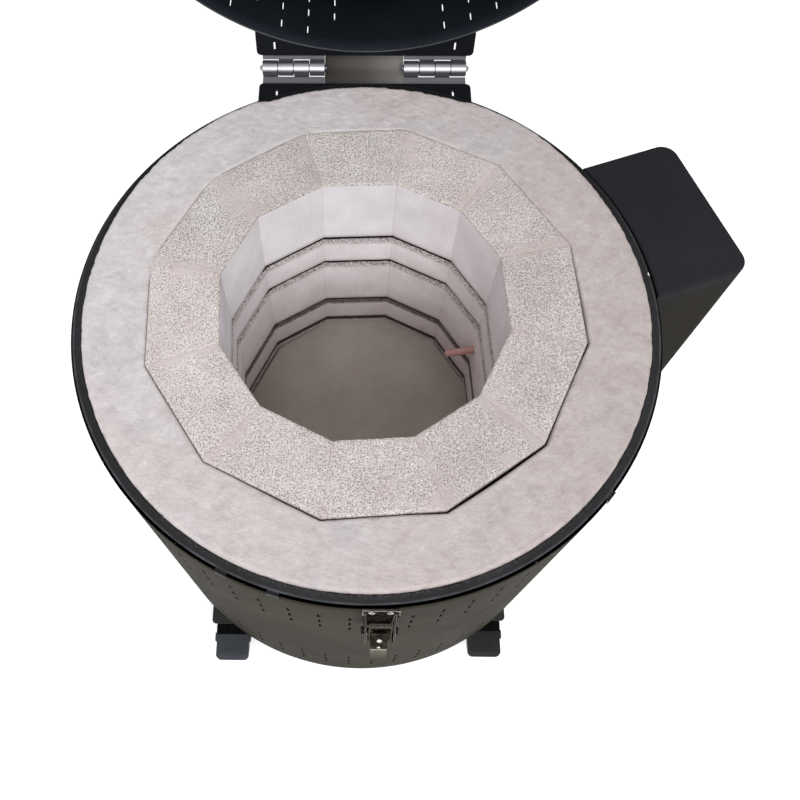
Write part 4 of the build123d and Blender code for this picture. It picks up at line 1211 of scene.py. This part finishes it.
bb_ = make("body_bracket_plate", *bracket(266.3, 259.9, -10.5, -8.5, [slot_loop(-92, 249.8, 259.6), slot_loop(92, 249.8, 259.6)]), M["plate_paint"], rep=("body_hinge_bracket",), slot="stainless", smooth=30)
bevel(bb_, 0.3, 2, 40)
lb_ = make("lid_bracket_plate", *bracket(273.8, 270.1, 1.2, 3.2, [slot_loop(-94.5, 257.6, 268.0), slot_loop(93.5, 257.6, 268.0)], 113.6), M["plate_paint"], rep=("lid_hinge_bracket",), slot="stainless", smooth=30, lid=True)
bevel(lb_, 0.3, 2, 40)
stop_loop = [(261.5, -12.8), (285.5, -12.8)]
for k in range(1, 17):
    a_ = math.radians(-90 + 90 * k / 16)
    stop_loop.append((285.5 + 14.0 * math.cos(a_), 1.2 + 14.0 * math.sin(a_)))
stop_loop += [(299.5, 6.8), (298.1, 6.8)]
for k in range(0, 17):
    a_ = math.radians(-90 * k / 16)
    stop_loop.append((285.5 + 12.6 * math.cos(a_), 1.2 + 12.6 * math.sin(a_)))
stop_loop.append((261.5, -11.4))
st = make("stop_plate_bent", *extrude_x(stop_loop, -42.2, 40.95), M["stop"], rep=("lid_stop_plate",), slot="stainless", smooth=35)
bevel(st, 0.25, 2, 50)

# ------------------------------------------------------------------ everything that keeps its CAD outline, with softened edges
for node, mat, w in (
    ("floor_slab", "floor_brick", 0.8),
    ("base_insulation", "fibre", 0.0), ("base_plate", "shell", 0.0), ("base_channels", "shell", 0.2), ("inner_shell", "shell_black", 0.0),
    ("lead_bushes", "white_ceramic", 0.4), ("element_leads", "wire", 0.0), ("thermocouple_head", "white_ceramic", 0.8),
    ("control_box_back", "shell", 0.0), ("box_mount_bolts", "zinc", 0.4), ("box_screws", "zinc", 0.5),
    ("controller_housing", "black_plastic", 0.8), ("display_window", "display", 0.2), ("key_set", "grey_plastic", 0.6), ("key_down", "grey_plastic", 0.6), ("key_up", "grey_plastic", 0.6),
    ("switch_body", "black_plastic", 0.6), ("power_rocker", "black_plastic", 0.5), ("pilot_lamp", "lamp", 0.5), ("relay_module", "alu", 0.2), ("terminal_block", "grey_plastic", 0.3), ("cord_gland", "black_plastic", 0.6),
    ("caster_plates", "caster_paint", 0.6), ("caster_bolts", "zinc", 0.4), ("brake_pedal_left", "pedal", 0.9), ("brake_pedal_right", "pedal_shaded", 0.9),
    ("lid_handle", "black_plastic", 1.5), ("lid_handle_posts", "zinc", 0.6),
):
    refine(node, M[mat], w)
def soft_box():
    """Control box with a wide fold along its top edge and tight folds elsewhere."""
    o = refine("control_box_body", M["box"], 0)
    me = o.data
    zt = max(v.co.z for v in me.vertices)
    bm = bmesh.new()
    bm.from_mesh(me)
    lay = bm.edges.layers.float.get("bevel_weight_edge") or bm.edges.layers.float.new("bevel_weight_edge")
    for e in bm.edges:
        if len(e.link_faces) == 2 and e.calc_face_angle(0.0) > math.radians(35):
            top_ = all(v.co.z > zt - 1e-5 for v in e.verts)
            e[lay] = 1.0 if top_ else 0.2
    bm.to_mesh(me)
    bm.free()
    b = o.modifiers.new("edge", "BEVEL")
    b.width = 0.0034
    b.segments = 5
    b.limit_method = "WEIGHT"
    b.use_clamp_overlap = False
    b.harden_normals = True
    return o


soft_box()

# lid insulation: a thick felted disc
nt_, prof = 360, []
for q in range(1, 34):
    prof.append((PLUG * q / 34.0, 1.0))
prof += [(PLUG - 3.0, 1.3), (PLUG - 1.0, 2.4), (PLUG, 5.0)]
prof += [(PLUG, 5.0 + 95.0 * q / 16.0) for q in range(1, 17)] + [(PLUG * q / 6.0, 100.4) for q in (5, 4, 3, 2, 1)]
V, F = [], []
for k in range(nt_):
    t = 2 * math.pi * k / nt_
    for r_, z_ in prof:
        V.append((r_ * math.cos(t), r_ * math.sin(t), z_))
m_ = len(prof)
V += [(0, 0, 1.0), (0, 0, 100.4)]
V = np.array(V, float)
rr = np.hypot(V[:, 0], V[:, 1])
low = V[:, 2] < 4.0
V[:, 2] += np.where(low, 0.9 + np.clip(PN.fbm(V * 0.05 + 3.0, 3) * 0.8 + PN2.fbm(V * 0.4, 2) * 0.25, -0.9, 3.0), 0)
sc_ = 1.0 - np.where((rr > PLUG - 3.5) & (V[:, 2] < 100), np.abs(PN2.fbm(V * 0.07 + 5.0, 3)) * 0.006, 0.0)
V[:, 0] *= sc_
V[:, 1] *= sc_
for k in range(nt_):
    k2 = (k + 1) % nt_
    for j in range(m_ - 1):
        F.append([k * m_ + j, k * m_ + j + 1, k2 * m_ + j + 1, k2 * m_ + j])
    F.append([nt_ * m_, k * m_, k2 * m_])
    F.append([nt_ * m_ + 1, k2 * m_ + m_ - 1, k * m_ + m_ - 1])
pg = make("lid_fibre_disc", V, F, M["fibre"], rep=("lid_insulation",), slot="ceramic_fibre", smooth=60, lid=True)
fix_normals(pg)

LATCH = 11.6
for node, mat, w in (("latch_base", "nickel", 0.26), ("latch_keeper", "nickel", 0.25), ("latch_link", "link", 0.22)):
    bright(refine(node, M[mat], w), M["edge"])
for node, mat, w in (("latch_link_pin", "link", 0.3), ("latch_pivot_pin", "nickel", 0.6), ("keeper_rivets", "edge", 0.5)):
    refine(node, M[mat], w)

# latch rivets with domed heads
parts = []
for rx in (LATCH - 7.2, LATCH + 7.2):
    pts, rad = [], []
    for y_, r_ in ((-269.6, 0.4), (-269.5, 1.3), (-269.2, 2.1), (-268.8, 2.6), (-268.5, 2.8), (-268.42, 1.6), (-265.2, 1.6), (-264.9, 1.2)):
        pts.append((rx, y_, -14.5))
        rad.append(r_)
    parts.append(tube_along(pts, rad, 24))
make("latch_rivets_domed", *join(parts), M["edge"], rep=("latch_rivets",), slot="latch_nickel", smooth=60)

# latch lever: folded plate with cheeks, a stop boss and a curled bright tail
LW = 7.0
parts = []
for s_ in (-1, 1):
    xa, xb = LATCH + s_ * (LW - 1.2), LATCH + s_ * LW
    cheek = round_loop([(-272.6, -52.0), (-276.4, -50.2), (-278.0, -50.7), (-284.0, -72.0), (-285.4, -84.0), (-281.5, -84.0), (-272.6, -60.0)], [1.5, 0.5, 0.2, 2.0, 0.2, 0.8, 3.0], 4)
    parts.append(extrude_x(cheek, min(xa, xb), max(xa, xb)))
front = [(-279.3, -50.4), (-280.6, -54.8), (-282.6, -62.0), (-284.2, -67.6), (-285.3, -71.6), (-286.0, -76.6), (-286.6, -81.6), (-286.7, -83.6)]
back = [(-285.4, -84.0), (-284.6, -77.0), (-284.0, -72.0), (-278.0, -50.7)]
parts.append(extrude_x(front + back, LATCH - LW, LATCH + LW))
lv = make("latch_lever_plate", *join(parts), M["nickel"], body=frame["nodes"]["latch_lever"]["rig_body"], rep=("latch_lever",), slot="latch_nickel", smooth=35)
fix_normals(lv)
bright(bevel(lv, 0.28, 2, 40), M["edge"])
tail_f = [(-286.7, -83.6), (-287.4, -85.6), (-288.4, -87.6), (-289.6, -89.2), (-291.2, -91.0), (-292.9, -92.6), (-294.6, -94.0)]
tail_b = [(-293.6, -95.0), (-291.8, -93.6), (-290.2, -92.0), (-288.6, -90.2), (-287.2, -88.0), (-286.2, -86.0), (-285.4, -84.0)]
V, F = extrude_x(tail_f + tail_b, LATCH - LW, LATCH + LW)
V = [(LATCH + (x - LATCH) * (1.0 - 0.3 * max(0.0, (-90.6 - z) / 4.4) ** 2), y, z) for x, y, z in V]
tl = make("latch_lever_tail", V, F, M["tail"], body=frame["nodes"]["latch_lever"]["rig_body"], rep=("latch_lever",), slot="latch_nickel", smooth=50)
fix_normals(tl)
bevel(tl, 0.3, 2, 50)
parts = []
pts, rad = [], []
for d_, r_ in ((0.0, 2.4), (0.9, 2.3), (1.5, 1.9), (1.9, 1.2), (2.05, 0.4)):
    pts.append((LATCH, -282.2 - d_ * 0.96, -61.6 + d_ * 0.27))
    rad.append(r_)
parts.append(tube_along(pts, rad, 20))
pts, rad = [], []
for d_, r_ in ((0.0, 1.5), (0.5, 1.4), (0.9, 1.0), (1.1, 0.3)):
    pts.append((LATCH, -285.9 - d_ * 0.97, -77.0 + d_ * 0.2))
    rad.append(r_)
parts.append(tube_along(pts, rad, 14))
bo = make("latch_lever_bosses", *join(parts), M["edge"], body=frame["nodes"]["latch_lever"]["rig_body"], rep=("latch_lever",), slot="latch_nickel", smooth=60)
fix_normals(bo)


for side_, cx, cy, mat in (("left", -157.5, -191.0, "pedal"), ("right", 157.0, -184.0, "pedal_shaded")):
    # rear flap of the pedal, tucked under the fork's housing
    flap = round_loop([(cx - 19.8, cy - 36.4), (cx + 19.8, cy - 36.4), (cx + 19.8, cy - 34.9), (cx - 19.8, cy - 34.9)], [0.2, 0.2, 0.5, 0.5], 3)
    f_ = make("pedal_flap_" + side_, *slab([flap], -456.8, -456.0, lambda a, b, t: (a, b, t)), M[mat], body=frame["nodes"]["brake_pedal_" + side_]["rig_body"], rep=("brake_pedal_" + side_,), slot="pedal_plastic", smooth=30)
    fix_normals(f_)


def spin_x(profile, cx, cy, cz, n=72):
    """Closed (r, x) outline turned round a cross axle."""
    V, F = lathe([(r, x) for r, x in profile], n)
    V = np.array(V)
    return np.stack([cx + V[:, 2], cy + V[:, 0], cz + V[:, 1]], -1), F


for c, (cx, cy) in {"front_left": (-157.5, -191.0), "front_right": (157.0, -184.0), "rear_left": (-160.0, 183.0), "rear_right": (158.0, 183.0)}.items():
    refine("caster_fork_" + c, M["fork"], 0.4)
    body_ = frame["nodes"]["caster_wheel_" + c]["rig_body"]
    tyre = round_loop([(19.05, -8.6), (25.0, -8.6), (25.0, 8.6), (19.05, 8.6)], [0.3, 2.4, 2.4, 0.3], 5)
    V, F = spin_x(tyre, cx, cy - 22.0, -488.0)
    t_ = make("tyre_" + c, V, F, M["rubber"], body=body_, rep=("caster_wheel_" + c,), slot="wheel_rubber", smooth=40)
    fix_normals(t_)
    hub = round_loop([(3.1, -8.4), (7.0, -8.4), (7.6, -5.0), (14.5, -4.6), (16.0, -7.5), (19.0, -7.5), (19.0, 7.5), (16.0, 7.5), (14.5, 4.6), (7.6, 5.0), (7.0, 8.4), (3.1, 8.4)], 0.7, 3)
    V, F = spin_x(hub, cx, cy - 22.0, -488.0)
    h_ = make("hub_" + c, V, F, M["hub"], body=body_, rep=("caster_wheel_" + c,), slot="wheel_rubber", smooth=40)
    fix_normals(h_)

# ------------------------------------------------------------------ stage, light and camera
bpy.ops.mesh.primitive_plane_add(size=12.0, location=(0, 0, 0))
floor = bpy.context.object
floor.name = "studio_floor"
fm = Mat("studio_floor_paper")
floor.data.materials.append(fm.out(fm.ramp(fm.noise(3.0, 2.0, 0.5), [(0.3, (0.95, 0.95, 0.95, 1)), (0.7, (0.97, 0.97, 0.97, 1))]), 0.9, 0.0, Specular_IOR_Level=0.1, Emission_Color=(1.0, 1.0, 1.0, 1.0), Emission_Strength=0.2))

world_ = bpy.data.worlds.new("studio")
scene.world = world_
world_.use_nodes = True
wt = world_.node_tree
bg = wt.nodes["Background"]
tc_ = wt.nodes.new("ShaderNodeTexCoord")
sp_ = wt.nodes.new("ShaderNodeSeparateXYZ")
mr_ = wt.nodes.new("ShaderNodeMapRange")
wt.links.new(tc_.outputs["Generated"], sp_.inputs[0])
wt.links.new(sp_.outputs[2], mr_.inputs["Value"])
mr_.inputs["From Min"].default_value = 0.0
mr_.inputs["From Max"].default_value = 0.6
mr_.inputs["To Min"].default_value = 0.4
mr_.inputs["To Max"].default_value = 1.0
wt.links.new(mr_.outputs["Result"], bg.inputs["Color"])
bg.inputs["Strength"].default_value = 0.98


def area(name, loc, target, size, power, color=(1, 1, 1)):
    ld = bpy.data.lights.new(name, "AREA")
    ld.shape = "SQUARE"
    ld.size = size
    ld.energy = power
    ld.color = color
    o = bpy.data.objects.new(name, ld)
    o.location = loc
    o.rotation_euler = (Vector(target) - Vector(loc)).to_track_quat("-Z", "Y").to_euler()
    scene.collection.objects.link(o)
    return o


area("key_light", (0.15, -1.8, 2.1), (0, 0, 0.45), 1.6, 48)

YAW, PITCH, ROLL = math.radians(-1.3766), math.radians(62.9823), math.radians(-0.8219)
f = Vector((math.sin(YAW) * math.cos(PITCH), math.cos(YAW) * math.cos(PITCH), -math.sin(PITCH)))
r = f.cross(Vector((0, 0, 1))).normalized()
u = r.cross(f)
c_, s_ = math.cos(ROLL), math.sin(ROLL)
r2, u2 = c_ * r + s_ * u, -s_ * r + c_ * u
cam_d = bpy.data.cameras.new("camera")
cam = bpy.data.objects.new("camera", cam_d)
scene.collection.objects.link(cam)
cam_d.sensor_width = 36.0
cam_d.lens = 860.31 * 36.0 / 800.0
cam_d.shift_x = (400 - 338.69) / 800
cam_d.shift_y = -(400 - 332.02) / 800
cam_d.clip_start = 0.01
mw = Matrix((r2, u2, -f)).transposed().to_4x4()
mw.translation = Vector((-0.01565, -0.37771, 1.192))
cam.matrix_world = mw
scene.camera = cam
scene.view_settings.view_transform = "Standard"
